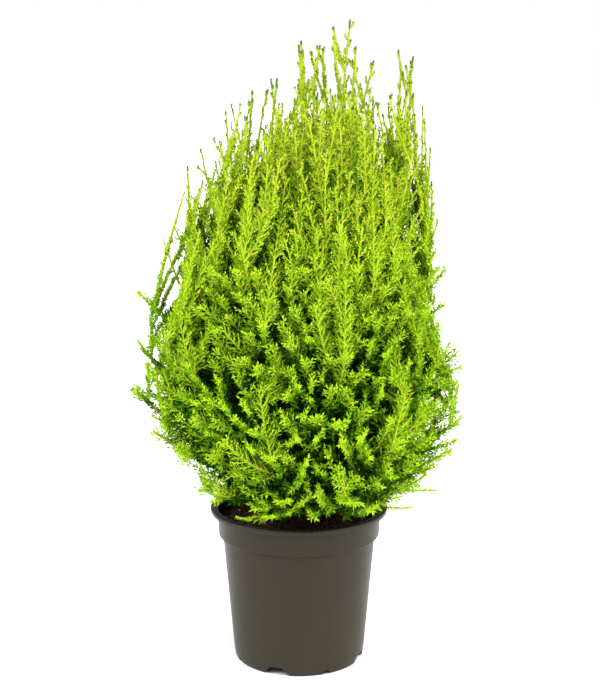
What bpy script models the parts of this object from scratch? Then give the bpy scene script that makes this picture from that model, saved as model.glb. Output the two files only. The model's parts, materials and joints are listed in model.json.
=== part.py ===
"""A potted lemon cypress: nursery pot, potting soil, trunk, boughs and masses of needle foliage.

Metres, +Z up. The origin is under the middle of the pot, on the level that it stands on. The front is -Y.
An azimuth is in degrees from the front, turning towards +X.
"""

import math
import random

import bmesh
import bpy
from mathutils import Vector, noise

# Pot, a 17 cm nursery pot
POT_HEIGHT = 0.149
RIM_RADIUS = 0.085
RIM_INNER_RADIUS = 0.0785
RIM_LIP = 0.0045
RIM_ROUNDING = 0.0018
COLLAR_RADIUS = 0.0780
COLLAR_TAPER = 0.0010
COLLAR_BOTTOM = 0.1225
LEDGE_DROP = 0.0028
BODY_TOP_RADIUS = 0.0725
BODY_LOW_RADIUS = 0.0628
BODY_LOW = 0.0085
FOOT_RADIUS = 0.0600
WALL = 0.0014
BASE_UNDERSIDE = 0.0082
POT_STEPS = 36
SMOOTH_UNDER = 40.0

# Openings round the foot of the pot
ARCH_AZIMUTHS = (-20, 70, 160, 250)
ARCH_WIDTH = 0.028
ARCH_TOP_WIDTH = 0.010
ARCH_HEIGHT = 0.0080
NOTCH_AZIMUTHS = (25, 115, 205, 295)
NOTCH_WIDTH = 0.0065
NOTCH_HEIGHT = 0.0042
NOTCH_TOP_SHARE = 0.7
CUT_BELOW = -0.004
CUT_DEPTH = 0.012
ARCH_SLOPE = (0.0, 0.35, 0.75, 1.0)
DRAIN_RADIUS = 0.0050
DRAIN_CIRCLE = 0.043

# Soil
SOIL_TOP = 0.137
SOIL_BUMP = 0.0022
SOIL_CLUMPS = 70.0
SOIL_SINK = 0.35
SOIL_CALM = 0.016
SOIL_RINGS = 4
SOIL_STEPS = 36
GAP = 0.0003

# Trunk
TRUNK_FOOT = Vector((0.007, 0.0, SOIL_TOP + GAP))
TOP_TIP = Vector((0.046, -0.004, 0.602))
TRUNK_END = 0.455
TRUNK_RADIUS = 0.0052
TRUNK_END_RADIUS = 0.0019
FLARE = 0.0030
FLARE_HEIGHT = 0.007
BUTT_HEIGHT = 0.012
TRUNK_WAVE = 0.0035
TRUNK_WAVE_DEPTH = 0.6
TRUNK_SPACING = 1.2
TRUNK_RESOLUTION = 2
TRUNK_POINTS = 11
TRUNK_SIDES = 12
TRUNK_FACE = (1 + math.cos(math.pi / TRUNK_SIDES)) / 2
START_STEP = 0.0002

# The crown's outline: height, middle in X, and reach from that middle
CROWN = (
    (0.138, 0.008, 0.085),
    (0.150, 0.010, 0.104),
    (0.165, 0.013, 0.117),
    (0.195, 0.015, 0.134),
    (0.230, 0.007, 0.149),
    (0.258, -0.004, 0.160),
    (0.300, -0.001, 0.154),
    (0.350, -0.002, 0.148),
    (0.380, 0.000, 0.138),
    (0.415, 0.004, 0.130),
    (0.460, 0.012, 0.113),
    (0.490, 0.014, 0.108),
    (0.525, 0.024, 0.096),
    (0.550, 0.036, 0.077),
    (0.572, 0.048, 0.058),
    (0.584, 0.030, 0.034),
    (0.603, 0.046, 0.008),
)

# Limbs. Each tier is a ring of limbs that leave the trunk between two heights and reach the crown's
# outline at a third. bough is the bare share of a limb, which is a node of its own.
TIERS = (
    {"name": "hem", "plumes": 4, "count": 5, "first": 14, "feet": (0.1475, 0.158), "height": 0.172,
     "spread": 0.55, "lift": 0.95, "bough": 0.0},
    {"name": "skirt", "plumes": 5, "count": 7, "first": 90, "feet": (0.162, 0.184), "height": 0.238,
     "spread": 0.62, "lift": 0.34, "bough": 0.0},
    {"name": "waist", "plumes": 6, "count": 7, "first": 270, "feet": (0.189, 0.222), "height": 0.318,
     "spread": 0.66, "lift": 0.26, "bough": 0.0},
    {"name": "shoulder", "plumes": 6, "count": 6, "first": 30, "feet": (0.228, 0.275), "height": 0.420,
     "spread": 0.75, "lift": 0.28, "bough": 0.24},
    {"name": "upper", "plumes": 6, "count": 6, "first": 0, "feet": (0.285, 0.318), "height": 0.498,
     "spread": 0.78, "lift": 0.28, "bough": 0.28},
)
# The crown's two furthest tips at the sides
FAR_TIPS = {
    "skirt_1": (0.154, -0.006, 0.236),
    "skirt_4": (-0.160, 0.026, 0.257),
}
LEADERS = (
    {"name": "right", "tip": (0.104, 0.005, 0.570), "foot": 0.336},
    {"name": "left", "tip": (-0.062, 0.008, 0.527), "foot": 0.346},
    {"name": "back", "tip": (-0.026, 0.034, 0.550), "foot": 0.358},
    {"name": "middle", "tip": (0.000, -0.028, 0.580), "foot": 0.374},
    {"name": "rear", "tip": (0.070, 0.044, 0.530), "foot": 0.388},
)
LEADER_PLUMES = 5
LEADER_BOUGH = 0.26
LEADER_SPREAD = 0.72
LEADER_LIFT = 0.36
SHORTEST_REACH = 0.95
HEIGHT_JITTER = 0.016
AZIMUTH_JITTER = 5.0
LIMB_RADIUS = 0.0024
LIMB_TIP_RADIUS = 0.0009
LIMB_TAPER = 0.8
BOUGH_POINTS = 5
BOUGH_RESOLUTION = 1

# Foliage. A plume is a twig of the mass, and its spines are its side sprays.
PLUME_FIRST = 0.08
PLUME_LAST = 0.86
PLUME_LENGTH = 0.120
PLUME_SHRINK = 0.42
PLUME_ANGLES = (32.0, 54.0)
PLUME_TOP_SHARE = 0.45
PLUME_TOP_LENGTH = 0.70
PLUME_CHOICES = 10
PLUME_APART = 0.035
PLUME_SHORTER = 0.88
PLUME_RISE = 0.35
PLUME_LEVELS = 4
PLUME_RADIUS = 0.0013
PLUME_TAPER = 0.45
PLUME_ROOT_SHARE = 0.6
PLUME_TURN = 40.0
PLUME_BEND = 0.5
PLUME_JITTER = 0.03
PLUME_SIZES = (0.90, 1.15)
SHORTEST_PLUME = 0.034
SPINE = 0.0215
SPINE_PER_LEVEL = 0.95
SPINE_TIP_SHARE = 0.50
LAST_SPINE_SHARE = 0.62
SPINE_TOP_SHARE = 0.60
HIGH_FROM = 0.40
HIGH_AT = 0.56
SPINE_LEAN = 1.10
SPINE_TRIES = (1.0, 0.75, 0.5)
STEM_LEVEL = 0.022
STEM_BARE_SHARE = 0.16
RING_TWIST = 34.0
GOLDEN_ANGLE = 137.5
AXIS_ROOM = 0.0025
SPACE_MARGIN = 0.0008
LOW_RADIUS = 0.055
SAMPLE_STEP = 0.006
SEED = 11


def material(name, color, roughness):
    """A plain Principled material."""
    made = bpy.data.materials.new(name)
    made.use_nodes = True
    shader = made.node_tree.nodes["Principled BSDF"]
    shader.inputs["Base Color"].default_value = (*color, 1.0)
    shader.inputs["Roughness"].default_value = roughness
    shader.inputs["Metallic"].default_value = 0.0
    return made


def link(obj, collection, surface=None):
    collection.objects.link(obj)
    if surface is not None:
        obj.data.materials.append(surface)
    return obj


def outward(azimuth):
    """The level direction of an azimuth."""
    angle = math.radians(azimuth)
    return Vector((math.sin(angle), -math.cos(angle), 0.0))


def bezier(a, b, c, t):
    return a * (1 - t) ** 2 + b * 2 * t * (1 - t) + c * t * t


# Pot


def pot_profile():
    """Half the pot's section: up the inside, over the rim, and down the outside to the base."""
    rim_edge = POT_HEIGHT - RIM_LIP
    ledge = COLLAR_BOTTOM - LEDGE_DROP
    base_top = BASE_UNDERSIDE + WALL
    return [
        (0.0, base_top),
        (BODY_LOW_RADIUS - 2 * WALL, base_top),
        (BODY_LOW_RADIUS - WALL, base_top + WALL),
        (BODY_TOP_RADIUS - WALL, ledge),
        (COLLAR_RADIUS - COLLAR_TAPER - WALL, COLLAR_BOTTOM + WALL),
        (COLLAR_RADIUS - WALL, rim_edge),
        (RIM_INNER_RADIUS, POT_HEIGHT - RIM_ROUNDING),
        (RIM_INNER_RADIUS + RIM_ROUNDING, POT_HEIGHT),
        (RIM_RADIUS - RIM_ROUNDING, POT_HEIGHT),
        (RIM_RADIUS, POT_HEIGHT - RIM_ROUNDING),
        (RIM_RADIUS - RIM_ROUNDING / 2, rim_edge),
        (COLLAR_RADIUS, rim_edge),
        (COLLAR_RADIUS - COLLAR_TAPER, COLLAR_BOTTOM + LEDGE_DROP / 2),
        (COLLAR_RADIUS - 2 * COLLAR_TAPER, COLLAR_BOTTOM),
        (BODY_TOP_RADIUS + COLLAR_TAPER / 2, ledge),
        (BODY_TOP_RADIUS, ledge - COLLAR_TAPER),
        (BODY_LOW_RADIUS, BODY_LOW),
        ((BODY_LOW_RADIUS + FOOT_RADIUS) / 2 + WALL / 3, BODY_LOW / 3),
        (FOOT_RADIUS, 0.0),
        (FOOT_RADIUS - WALL, 0.0),
        (FOOT_RADIUS - WALL, BASE_UNDERSIDE),
        (0.0, BASE_UNDERSIDE),
    ]


def turned(name, profile, steps, collection, surface=None):
    """A profile of (radius, height) pairs turned round the Z axis."""
    mesh = bpy.data.meshes.new(name)
    points = [(radius, 0.0, height) for radius, height in profile]
    edges = [(i, i + 1) for i in range(len(points) - 1)]
    mesh.from_pydata(points, edges, [])
    obj = link(bpy.data.objects.new(name, mesh), collection, surface)
    screw = obj.modifiers.new("turn", "SCREW")
    screw.axis = "Z"
    screw.steps = steps
    screw.render_steps = steps
    screw.use_merge_vertices = True
    screw.merge_threshold = 0.00001
    screw.use_smooth_shade = True
    return obj


def applied(obj):
    """The object as its modifiers leave it, as a plain mesh object."""
    bpy.context.view_layer.update()
    graph = bpy.context.evaluated_depsgraph_get()
    mesh = bpy.data.meshes.new_from_object(obj.evaluated_get(graph))
    obj.modifiers.clear()
    obj.data = mesh
    return obj


def cutter(name, outline, azimuth, inner, outer, collection):
    """An outline of (across, up) pairs drawn out from the pot's axis, between two radii."""
    mesh = bpy.data.meshes.new(name)
    made = bmesh.new()
    near = [made.verts.new((x, -inner, z)) for x, z in outline]
    face = made.faces.new(near)
    drawn = bmesh.ops.extrude_face_region(made, geom=[face])["geom"]
    moved = [v for v in drawn if isinstance(v, bmesh.types.BMVert)]
    bmesh.ops.translate(made, verts=moved, vec=(0.0, inner - outer, 0.0))
    bmesh.ops.recalc_face_normals(made, faces=made.faces)
    made.to_mesh(mesh)
    made.free()
    obj = link(bpy.data.objects.new(name, mesh), collection)
    obj.rotation_euler.z = math.radians(azimuth)
    return hidden(obj)


def hidden(obj):
    obj.hide_render = True
    obj.display_type = "WIRE"
    return obj


def arch_outline():
    """The bell-shaped opening in the foot, from one side to the other."""
    half, top = ARCH_WIDTH / 2, ARCH_TOP_WIDTH / 2
    side = []
    for share in ARCH_SLOPE:
        eased = share * share * (3 - 2 * share)
        side.append((half + (top - half) * share, ARCH_HEIGHT * eased))
    mirrored = [(-across, up) for across, up in reversed(side)]
    return [(-half, CUT_BELOW), (half, CUT_BELOW)] + side + mirrored


def notch_outline():
    """The small opening in the foot, a little narrower at its top."""
    half = NOTCH_WIDTH / 2
    top = half * NOTCH_TOP_SHARE
    return [(-half, CUT_BELOW), (half, CUT_BELOW), (top, NOTCH_HEIGHT), (-top, NOTCH_HEIGHT)]


def drain(name, place, collection):
    """A round hole through the pot's base."""
    bpy.ops.mesh.primitive_cylinder_add(vertices=12, radius=DRAIN_RADIUS, depth=CUT_DEPTH)
    obj = bpy.context.active_object
    obj.name = name
    obj.location = place
    for other in list(obj.users_collection):
        other.objects.unlink(obj)
    collection.objects.link(obj)
    return hidden(obj)


def make_pot(collection, cutters, surface):
    """The pot, turned, with the openings round its foot and the drain holes in its base."""
    pot = turned("pot", pot_profile(), POT_STEPS, collection, surface)
    inner, outer = FOOT_RADIUS - CUT_DEPTH, BODY_LOW_RADIUS + CUT_DEPTH
    for i, azimuth in enumerate(ARCH_AZIMUTHS):
        cutter(f"arch_{i}", arch_outline(), azimuth, inner, outer, cutters)
        place = outward(azimuth) * DRAIN_CIRCLE + Vector((0.0, 0.0, BASE_UNDERSIDE))
        drain(f"drain_{i}", place, cutters)
    for i, azimuth in enumerate(NOTCH_AZIMUTHS):
        cutter(f"notch_{i}", notch_outline(), azimuth, inner, outer, cutters)
    drain("drain_middle", Vector((0.0, 0.0, BASE_UNDERSIDE)), cutters)
    cut = pot.modifiers.new("openings", "BOOLEAN")
    cut.operand_type = "COLLECTION"
    cut.collection = cutters
    cut.operation = "DIFFERENCE"
    cut.solver = "EXACT"
    return pot


# Soil


def soil_profile():
    """The soil fills the pot, clear of its wall, and ends a little below the rim."""
    clear = 2 * GAP
    bottom = BASE_UNDERSIDE + WALL + GAP
    collar_inner = COLLAR_RADIUS - COLLAR_TAPER - WALL - clear
    points = [(collar_inner * i / SOIL_RINGS, SOIL_TOP) for i in range(SOIL_RINGS + 1)]
    return points + [
        (collar_inner, COLLAR_BOTTOM + WALL),
        (BODY_TOP_RADIUS - WALL - clear, COLLAR_BOTTOM - LEDGE_DROP),
        (BODY_LOW_RADIUS - WALL - clear, BASE_UNDERSIDE + 2 * WALL),
        (BODY_LOW_RADIUS - 2 * WALL - clear, bottom),
        (0.0, bottom),
    ]


def make_soil(collection, surface):
    """The soil, lumpy on top except round the trunk, where it is level."""
    soil = applied(turned("soil", soil_profile(), SOIL_STEPS, collection, surface))
    edge = COLLAR_RADIUS - 2 * WALL
    for vertex in soil.data.vertices:
        place = vertex.co
        across = math.hypot(place.x, place.y)
        from_trunk = math.hypot(place.x - TRUNK_FOOT.x, place.y - TRUNK_FOOT.y)
        if place.z < SOIL_TOP - GAP or across > edge or from_trunk < SOIL_CALM:
            continue
        place.z += SOIL_BUMP * (noise.noise(place * SOIL_CLUMPS) - SOIL_SINK)
    soil.data.set_sharp_from_angle(angle=math.radians(SMOOTH_UNDER))
    return soil


# Trunk and limbs


def trunk_axis(height):
    """The trunk's centre at a height: upright at the butt, then leaning in a slight wave."""
    butt = TRUNK_FOOT.z + BUTT_HEIGHT
    share = max(0.0, (height - butt) / (TOP_TIP.z - butt))
    wave = TRUNK_WAVE * math.sin(2 * math.pi * share)
    lean = TRUNK_FOOT.lerp(TOP_TIP, share)
    return Vector((lean.x - wave, lean.y + wave * TRUNK_WAVE_DEPTH, height))


def trunk_radius(height):
    """The trunk's radius at a height: a steady taper, and a flare at the roots."""
    share = (height - TRUNK_FOOT.z) / (TRUNK_END - TRUNK_FOOT.z)
    flare = FLARE * math.exp(-(height - TRUNK_FOOT.z) / FLARE_HEIGHT)
    return TRUNK_RADIUS + (TRUNK_END_RADIUS - TRUNK_RADIUS) * share + flare


def tube(name, points, radii, resolution, collection, surface):
    """A round limb through points, with a radius at each and closed ends."""
    curve = bpy.data.curves.new(name, "CURVE")
    curve.dimensions = "3D"
    curve.bevel_depth = 1.0
    curve.bevel_resolution = resolution
    curve.use_fill_caps = True
    spline = curve.splines.new("POLY")
    spline.points.add(len(points) - 1)
    for target, place, radius in zip(spline.points, points, radii):
        target.co = (*place, 1.0)
        target.radius = radius
    return link(bpy.data.objects.new(name, curve), collection, surface)


def make_trunk(collection, surface):
    """The trunk, from its flat foot on the soil to where the top shoot takes over."""
    butt = TRUNK_FOOT.z + BUTT_HEIGHT
    rising = [(i / (TRUNK_POINTS - 1)) ** TRUNK_SPACING for i in range(TRUNK_POINTS)]
    heights = [TRUNK_FOOT.z, TRUNK_FOOT.z + BUTT_HEIGHT / 3]
    heights += [butt + (TRUNK_END - butt) * share for share in rising]
    points = [trunk_axis(height) for height in heights]
    radii = [trunk_radius(height) for height in heights]
    return tube("trunk", points, radii, TRUNK_RESOLUTION, collection, surface)


class Limb:
    """A limb from the trunk out to a tip, with the share of it that is bare bough."""

    def __init__(self, name, foot_height, tip, spread, lift, bough, plumes):
        self.name = name
        self.bough = bough
        self.plumes = plumes
        self.tip = Vector(tip)
        self.root = trunk_axis(foot_height)
        across = Vector((self.tip.x - self.root.x, self.tip.y - self.root.y, 0.0))
        self.bend = self.root + across * spread
        self.bend.z += (self.tip.z - self.root.z) * lift
        steep = (self.bend - self.root).normalized().z
        self.start = self.share_clear(GAP + LIMB_RADIUS * steep)
        self.leaf_start = max(self.start, bough)

    def point(self, share):
        return bezier(self.root, self.bend, self.tip, share)

    def direction(self, share):
        near = (self.bend - self.root) * (1 - share) + (self.tip - self.bend) * share
        return near.normalized()

    def share_clear(self, gap):
        """How far along the limb its centre stands this far from the trunk's bark."""
        share = 0.0
        while share < 0.5:
            place = self.point(share)
            across = (place - trunk_axis(place.z)).xy.length
            if across - trunk_radius(place.z) * TRUNK_FACE >= gap:
                break
            share += START_STEP
        return share

    def radius(self, share):
        return LIMB_RADIUS + (LIMB_TIP_RADIUS - LIMB_RADIUS) * share ** LIMB_TAPER

    def length(self, first, last):
        steps = 24
        shares = [first + (last - first) * i / steps for i in range(steps + 1)]
        return sum((self.point(b) - self.point(a)).length for a, b in zip(shares, shares[1:]))


class TopShoot(Limb):
    """The trunk's own continuation above its cut end."""

    def __init__(self):
        self.name = "top"
        self.bough = 0.0
        self.plumes = LEADER_PLUMES
        self.tip = TOP_TIP
        self.root = trunk_axis(TRUNK_END)
        self.bend = (self.root + self.tip) / 2 + Vector((-0.003, 0.0, 0.0))
        self.start = 2 * GAP / (self.tip - self.root).length
        self.leaf_start = self.start

    def radius(self, share):
        return TRUNK_END_RADIUS + (LIMB_TIP_RADIUS - TRUNK_END_RADIUS) * share


def crown_at(height):
    """The crown's middle in X and its reach, at a height."""
    for low, high in zip(CROWN, CROWN[1:]):
        if height <= high[0]:
            break
    share = min(1.0, max(0.0, (height - low[0]) / (high[0] - low[0])))
    return low[1] + (high[1] - low[1]) * share, low[2] + (high[2] - low[2]) * share


def all_limbs():
    """Every limb, worked out from the tiers and the leaders."""
    limbs = []
    for tier in TIERS:
        rng = random.Random(f"{SEED} {tier['name']}")
        low, high = tier["feet"]
        for i in range(tier["count"]):
            azimuth = tier["first"] + 360.0 * i / tier["count"]
            azimuth += rng.uniform(-AZIMUTH_JITTER, AZIMUTH_JITTER)
            height = tier["height"] + rng.uniform(-HEIGHT_JITTER, HEIGHT_JITTER)
            middle, reach = crown_at(height)
            tip = outward(azimuth) * reach * rng.uniform(SHORTEST_REACH, 1.0)
            tip += Vector((middle, 0.0, height))
            foot = low + (high - low) * ((i * 3) % tier["count"]) / tier["count"]
            name = f"{tier['name']}_{i + 1}"
            tip = FAR_TIPS.get(name, tip)
            limbs.append(Limb(name, foot, tip, tier["spread"], tier["lift"], tier["bough"],
                              tier["plumes"]))
    for leader in LEADERS:
        limbs.append(Limb(leader["name"], leader["foot"], leader["tip"],
                          LEADER_SPREAD, LEADER_LIFT, LEADER_BOUGH, LEADER_PLUMES))
    limbs.append(TopShoot())
    return limbs


def make_bough(limb, collection, surface):
    """The bare stretch of a limb, up to where its foliage begins."""
    shares = [limb.start + (limb.bough - limb.start) * i / (BOUGH_POINTS - 1)
              for i in range(BOUGH_POINTS)]
    points = [limb.point(share) for share in shares]
    radii = [limb.radius(share) for share in shares]
    return tube(f"bough_{limb.name}", points, radii, BOUGH_RESOLUTION, collection, surface)


# Foliage


class Space:
    """The room round each limb: a point belongs to the limb whose stem is nearest."""

    def __init__(self, limbs):
        self.stems = {}
        self.wood = []
        for limb in limbs:
            self.stems[limb.name] = self.samples(limb, limb.leaf_start, 1.0)
            if limb.bough:
                bare = self.samples(limb, limb.start, limb.bough)
                self.wood += [(spot, limb.radius(limb.bough / 2)) for spot in bare]
        height = TRUNK_FOOT.z
        while height < TRUNK_END:
            self.wood.append((trunk_axis(height), trunk_radius(height)))
            height += SAMPLE_STEP / 2

    @staticmethod
    def samples(limb, first, last):
        count = max(2, int(limb.length(first, last) / SAMPLE_STEP))
        return [limb.point(first + (last - first) * i / count) for i in range(count + 1)]

    def room(self, place, name):
        """How far a point lies inside its own limb's space."""
        own = min(self.stems[name], key=lambda s: (s - place).length_squared)
        inside = min(self.under_outline(place), self.over_pot(place))
        for spot, radius in self.wood:
            inside = min(inside, (spot - place).length - radius)
        if inside <= 0.0:
            return inside
        for other, samples in self.stems.items():
            if other == name:
                continue
            near = min(samples, key=lambda s: (s - place).length_squared)
            apart = max((near - own).length, GAP)
            gap = ((near - place).length_squared - (own - place).length_squared) / (2 * apart)
            inside = min(inside, gap)
        return inside

    @staticmethod
    def under_outline(place):
        """How far a point lies inside the crown's outline."""
        middle, reach = crown_at(place.z)
        if place.z > CROWN[-1][0]:
            return CROWN[-1][0] - place.z
        return reach - math.hypot(place.x - middle, place.y)

    @staticmethod
    def over_pot(place):
        """Height above the soil near the trunk, and above the rim further out."""
        near = math.hypot(place.x, place.y) < LOW_RADIUS
        return place.z - (SOIL_TOP + SOIL_BUMP if near else POT_HEIGHT)


class Twig:
    """A three-sided tapering twig whose side faces rise to spines that lean forward."""

    def __init__(self, axis, radii, turn=0.0):
        self.axis = axis
        self.rings = []
        self.spines = {}
        start = (axis[1] - axis[0]).normalized()
        side = Vector((0.0, 0.0, 1.0)) if abs(start.z) < 0.9 else Vector((1.0, 0.0, 0.0))
        for i in range(len(axis) - 1):
            ahead = (axis[i + 1] - axis[max(i - 1, 0)]).normalized()
            side = (side - ahead * side.dot(ahead)).normalized()
            self.rings.append(self.ring(axis[i], ahead, side, radii[i], turn + i * RING_TWIST))

    @staticmethod
    def ring(centre, ahead, side, radius, turn):
        up = ahead.cross(side)
        angles = [math.radians(turn + k * 120.0) for k in range(3)]
        return [centre + (side * math.cos(a) + up * math.sin(a)) * radius for a in angles]

    def corners(self, i, k):
        """The corners of a side face: four, or three where the twig ends in its tip."""
        low = self.rings[i]
        if i == len(self.rings) - 1:
            return low[k], low[(k + 1) % 3], self.axis[-1]
        high = self.rings[i + 1]
        return low[k], low[(k + 1) % 3], high[(k + 1) % 3], high[k]

    def spine_point(self, i, k, length):
        corners = self.corners(i, k)
        centre = sum(corners, Vector()) / len(corners)
        ahead = (self.axis[i + 1] - self.axis[i]).normalized()
        out = centre - (self.axis[i] + self.axis[i + 1]) / 2
        out -= ahead * out.dot(ahead)
        return centre, centre + (out.normalized() + ahead * SPINE_LEAN).normalized() * length

    def grow_spines(self, first, lengths, limb, space):
        """Spines from a level up, each as long as the limb's space lets it be."""
        for i in range(first, len(self.rings)):
            longest = (self.axis[i + 1] - self.axis[i]).length * SPINE_PER_LEVEL
            if i == len(self.rings) - 1:
                longest *= LAST_SPINE_SHARE
            for k in range(3):
                for tried in SPINE_TRIES:
                    centre, point = self.spine_point(i, k, min(lengths[i], longest) * tried)
                    checked = (point, (centre + point) / 2)
                    if min(space.room(p, limb.name) for p in checked) > SPACE_MARGIN:
                        self.spines[i, k] = point
                        break

    def mesh(self):
        made = bmesh.new()
        corner = {}

        def vertex(place):
            key = tuple(place)
            if key not in corner:
                corner[key] = made.verts.new(place)
            return corner[key]

        made.faces.new([vertex(p) for p in reversed(self.rings[0])])
        for i in range(len(self.rings)):
            for k in range(3):
                around = [vertex(p) for p in self.corners(i, k)]
                if (i, k) in self.spines:
                    point = made.verts.new(self.spines[i, k])
                    for first, second in zip(around, around[1:] + around[:1]):
                        made.faces.new((first, second, point))
                else:
                    made.faces.new(around[:3])
                    if len(around) == 4:
                        made.faces.new((around[0], around[2], around[3]))
        bmesh.ops.recalc_face_normals(made, faces=made.faces)
        mesh = bpy.data.meshes.new("twig")
        made.to_mesh(mesh)
        made.free()
        return mesh


def near_top(height, share):
    """1 in the lower crown, and a share of that among the top shoots."""
    high = min(1.0, max(0.0, (height - HIGH_FROM) / (HIGH_AT - HIGH_FROM)))
    return 1 - (1 - share) * high


def spine_length(share, height):
    """A spine's length: shorter towards its twig's tip, and on the high shoots."""
    return SPINE * (1 - (1 - SPINE_TIP_SHARE) * share) * near_top(height, SPINE_TOP_SHARE)


def plume_axis(limb, share, roll, angle, length):
    """A plume's curve: it leaves the stem at an angle and bends up."""
    base = limb.point(share)
    ahead = limb.direction(share)
    side = ahead.cross(Vector((0.0, 0.0, 1.0)))
    if side.length < 0.05:
        side = Vector((1.0, 0.0, 0.0))
    side.normalize()
    across = side * math.cos(roll) + side.cross(ahead) * math.sin(roll)
    course = ahead * math.cos(angle) + across * math.sin(angle)
    bend = base + course * length * PLUME_BEND
    tip = base + (course + Vector((0.0, 0.0, PLUME_RISE))).normalized() * length
    return [bezier(base, bend, tip, i / PLUME_LEVELS) for i in range(PLUME_LEVELS + 1)]


def longest_plume(limb, space, share, roll, angle, length):
    """The plume's curve at the greatest length that keeps to the limb's space."""
    while length >= SHORTEST_PLUME:
        axis = plume_axis(limb, share, roll, angle, length)
        if min(space.room(p, limb.name) for p in reversed(axis[2:])) > AXIS_ROOM:
            return axis
        length *= PLUME_SHORTER
    return None


def plume_worth(axis, taken):
    """Long plumes that stand well away from what is there already are worth most."""
    outer = axis[len(axis) // 2:]
    apart = min((p - q).length for p in outer for q in taken)
    return (axis[-1] - axis[0]).length * min(apart, PLUME_APART)


def plumes_of(limb, space):
    """The plumes of a limb's foliage: at each station, the one that fills the space best."""
    rng = random.Random(f"{SEED} plumes {limb.name}")
    taken = list(space.stems[limb.name])
    found = []
    for i in range(limb.plumes):
        along = PLUME_FIRST + (PLUME_LAST - PLUME_FIRST) * i / (limb.plumes - 1)
        along_here = along + rng.uniform(-PLUME_JITTER, PLUME_JITTER)
        share = limb.leaf_start + (1 - limb.leaf_start) * along_here
        length = PLUME_LENGTH * (1 - PLUME_SHRINK * along) * rng.uniform(*PLUME_SIZES)
        upright = near_top(limb.point(share).z, PLUME_TOP_SHARE)
        length *= near_top(limb.point(share).z, PLUME_TOP_LENGTH)
        first = rng.uniform(0, 360)
        choices = []
        for k in range(PLUME_CHOICES):
            roll = math.radians(first + GOLDEN_ANGLE * k)
            angle = math.radians(rng.uniform(*PLUME_ANGLES)) * upright
            choices.append(longest_plume(limb, space, share, roll, angle, length))
        choices = [axis for axis in choices if axis]
        if not choices:
            continue
        axis = max(choices, key=lambda a: plume_worth(a, taken))
        taken += axis[1:]
        radii = [PLUME_RADIUS * (1 - PLUME_TAPER * k / PLUME_LEVELS) for k in range(len(axis))]
        radii[0] *= PLUME_ROOT_SHARE
        twig = Twig(axis, radii, turn=PLUME_TURN * i)
        lengths = [spine_length(k / PLUME_LEVELS, axis[k].z) for k in range(PLUME_LEVELS)]
        twig.grow_spines(1, lengths, limb, space)
        found.append(twig)
    return found


def stem_of(limb, space):
    """A mass's own stem, from the bough's end or the trunk to the limb's tip."""
    count = max(4, round(limb.length(limb.leaf_start, 1.0) / STEM_LEVEL))
    first = limb.leaf_start
    if limb.bough:
        first += GAP / limb.length(0.0, 1.0)
    shares = [first + (1 - first) * i / count for i in range(count + 1)]
    axis = [limb.point(share) for share in shares]
    stem = Twig(axis, [limb.radius(share) for share in shares])
    lengths = [spine_length(i / count, axis[i].z) for i in range(count)]
    stem.grow_spines(max(1, round(count * STEM_BARE_SHARE)), lengths, limb, space)
    return stem


def make_mass(limb, space, collection, surface):
    """One mass of foliage: its stem, and the plumes that are joined to it."""
    mesh = stem_of(limb, space).mesh()
    mass = link(bpy.data.objects.new(f"foliage_{limb.name}", mesh), collection, surface)
    twigs = bpy.data.collections.new(f"twigs_{limb.name}")
    bpy.context.scene.collection.children.link(twigs)
    for twig in plumes_of(limb, space):
        link(bpy.data.objects.new("twig", twig.mesh()), twigs)
    join = mass.modifiers.new("join", "BOOLEAN")
    join.operand_type = "COLLECTION"
    join.collection = twigs
    join.operation = "UNION"
    join.solver = "EXACT"
    applied(mass)
    for twig in list(twigs.objects):
        bpy.data.objects.remove(twig)
    bpy.data.collections.remove(twigs)
    return mass


def clear_scene():
    """Start from an empty scene."""
    for obj in list(bpy.data.objects):
        bpy.data.objects.remove(obj)


def main():
    clear_scene()
    scene = bpy.context.scene
    plant = bpy.data.collections.new("lemon_cypress")
    cutters = bpy.data.collections.new("cutters")
    scene.collection.children.link(plant)
    scene.collection.children.link(cutters)
    plastic = material("pot_plastic", (0.055, 0.052, 0.044), 0.38)
    peat = material("soil", (0.030, 0.018, 0.010), 0.95)
    bark = material("bark", (0.160, 0.075, 0.035), 0.85)
    leaf = material("foliage", (0.300, 0.520, 0.020), 0.55)
    make_pot(plant, cutters, plastic)
    make_soil(plant, peat)
    make_trunk(plant, bark)
    limbs = all_limbs()
    space = Space(limbs)
    for limb in limbs:
        if limb.bough:
            make_bough(limb, plant, bark)
        make_mass(limb, space, plant, leaf)


main()
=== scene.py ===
import itertools
import json
import math
import random

import bmesh
import bpy
import numpy as np
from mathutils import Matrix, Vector, kdtree, noise

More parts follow.
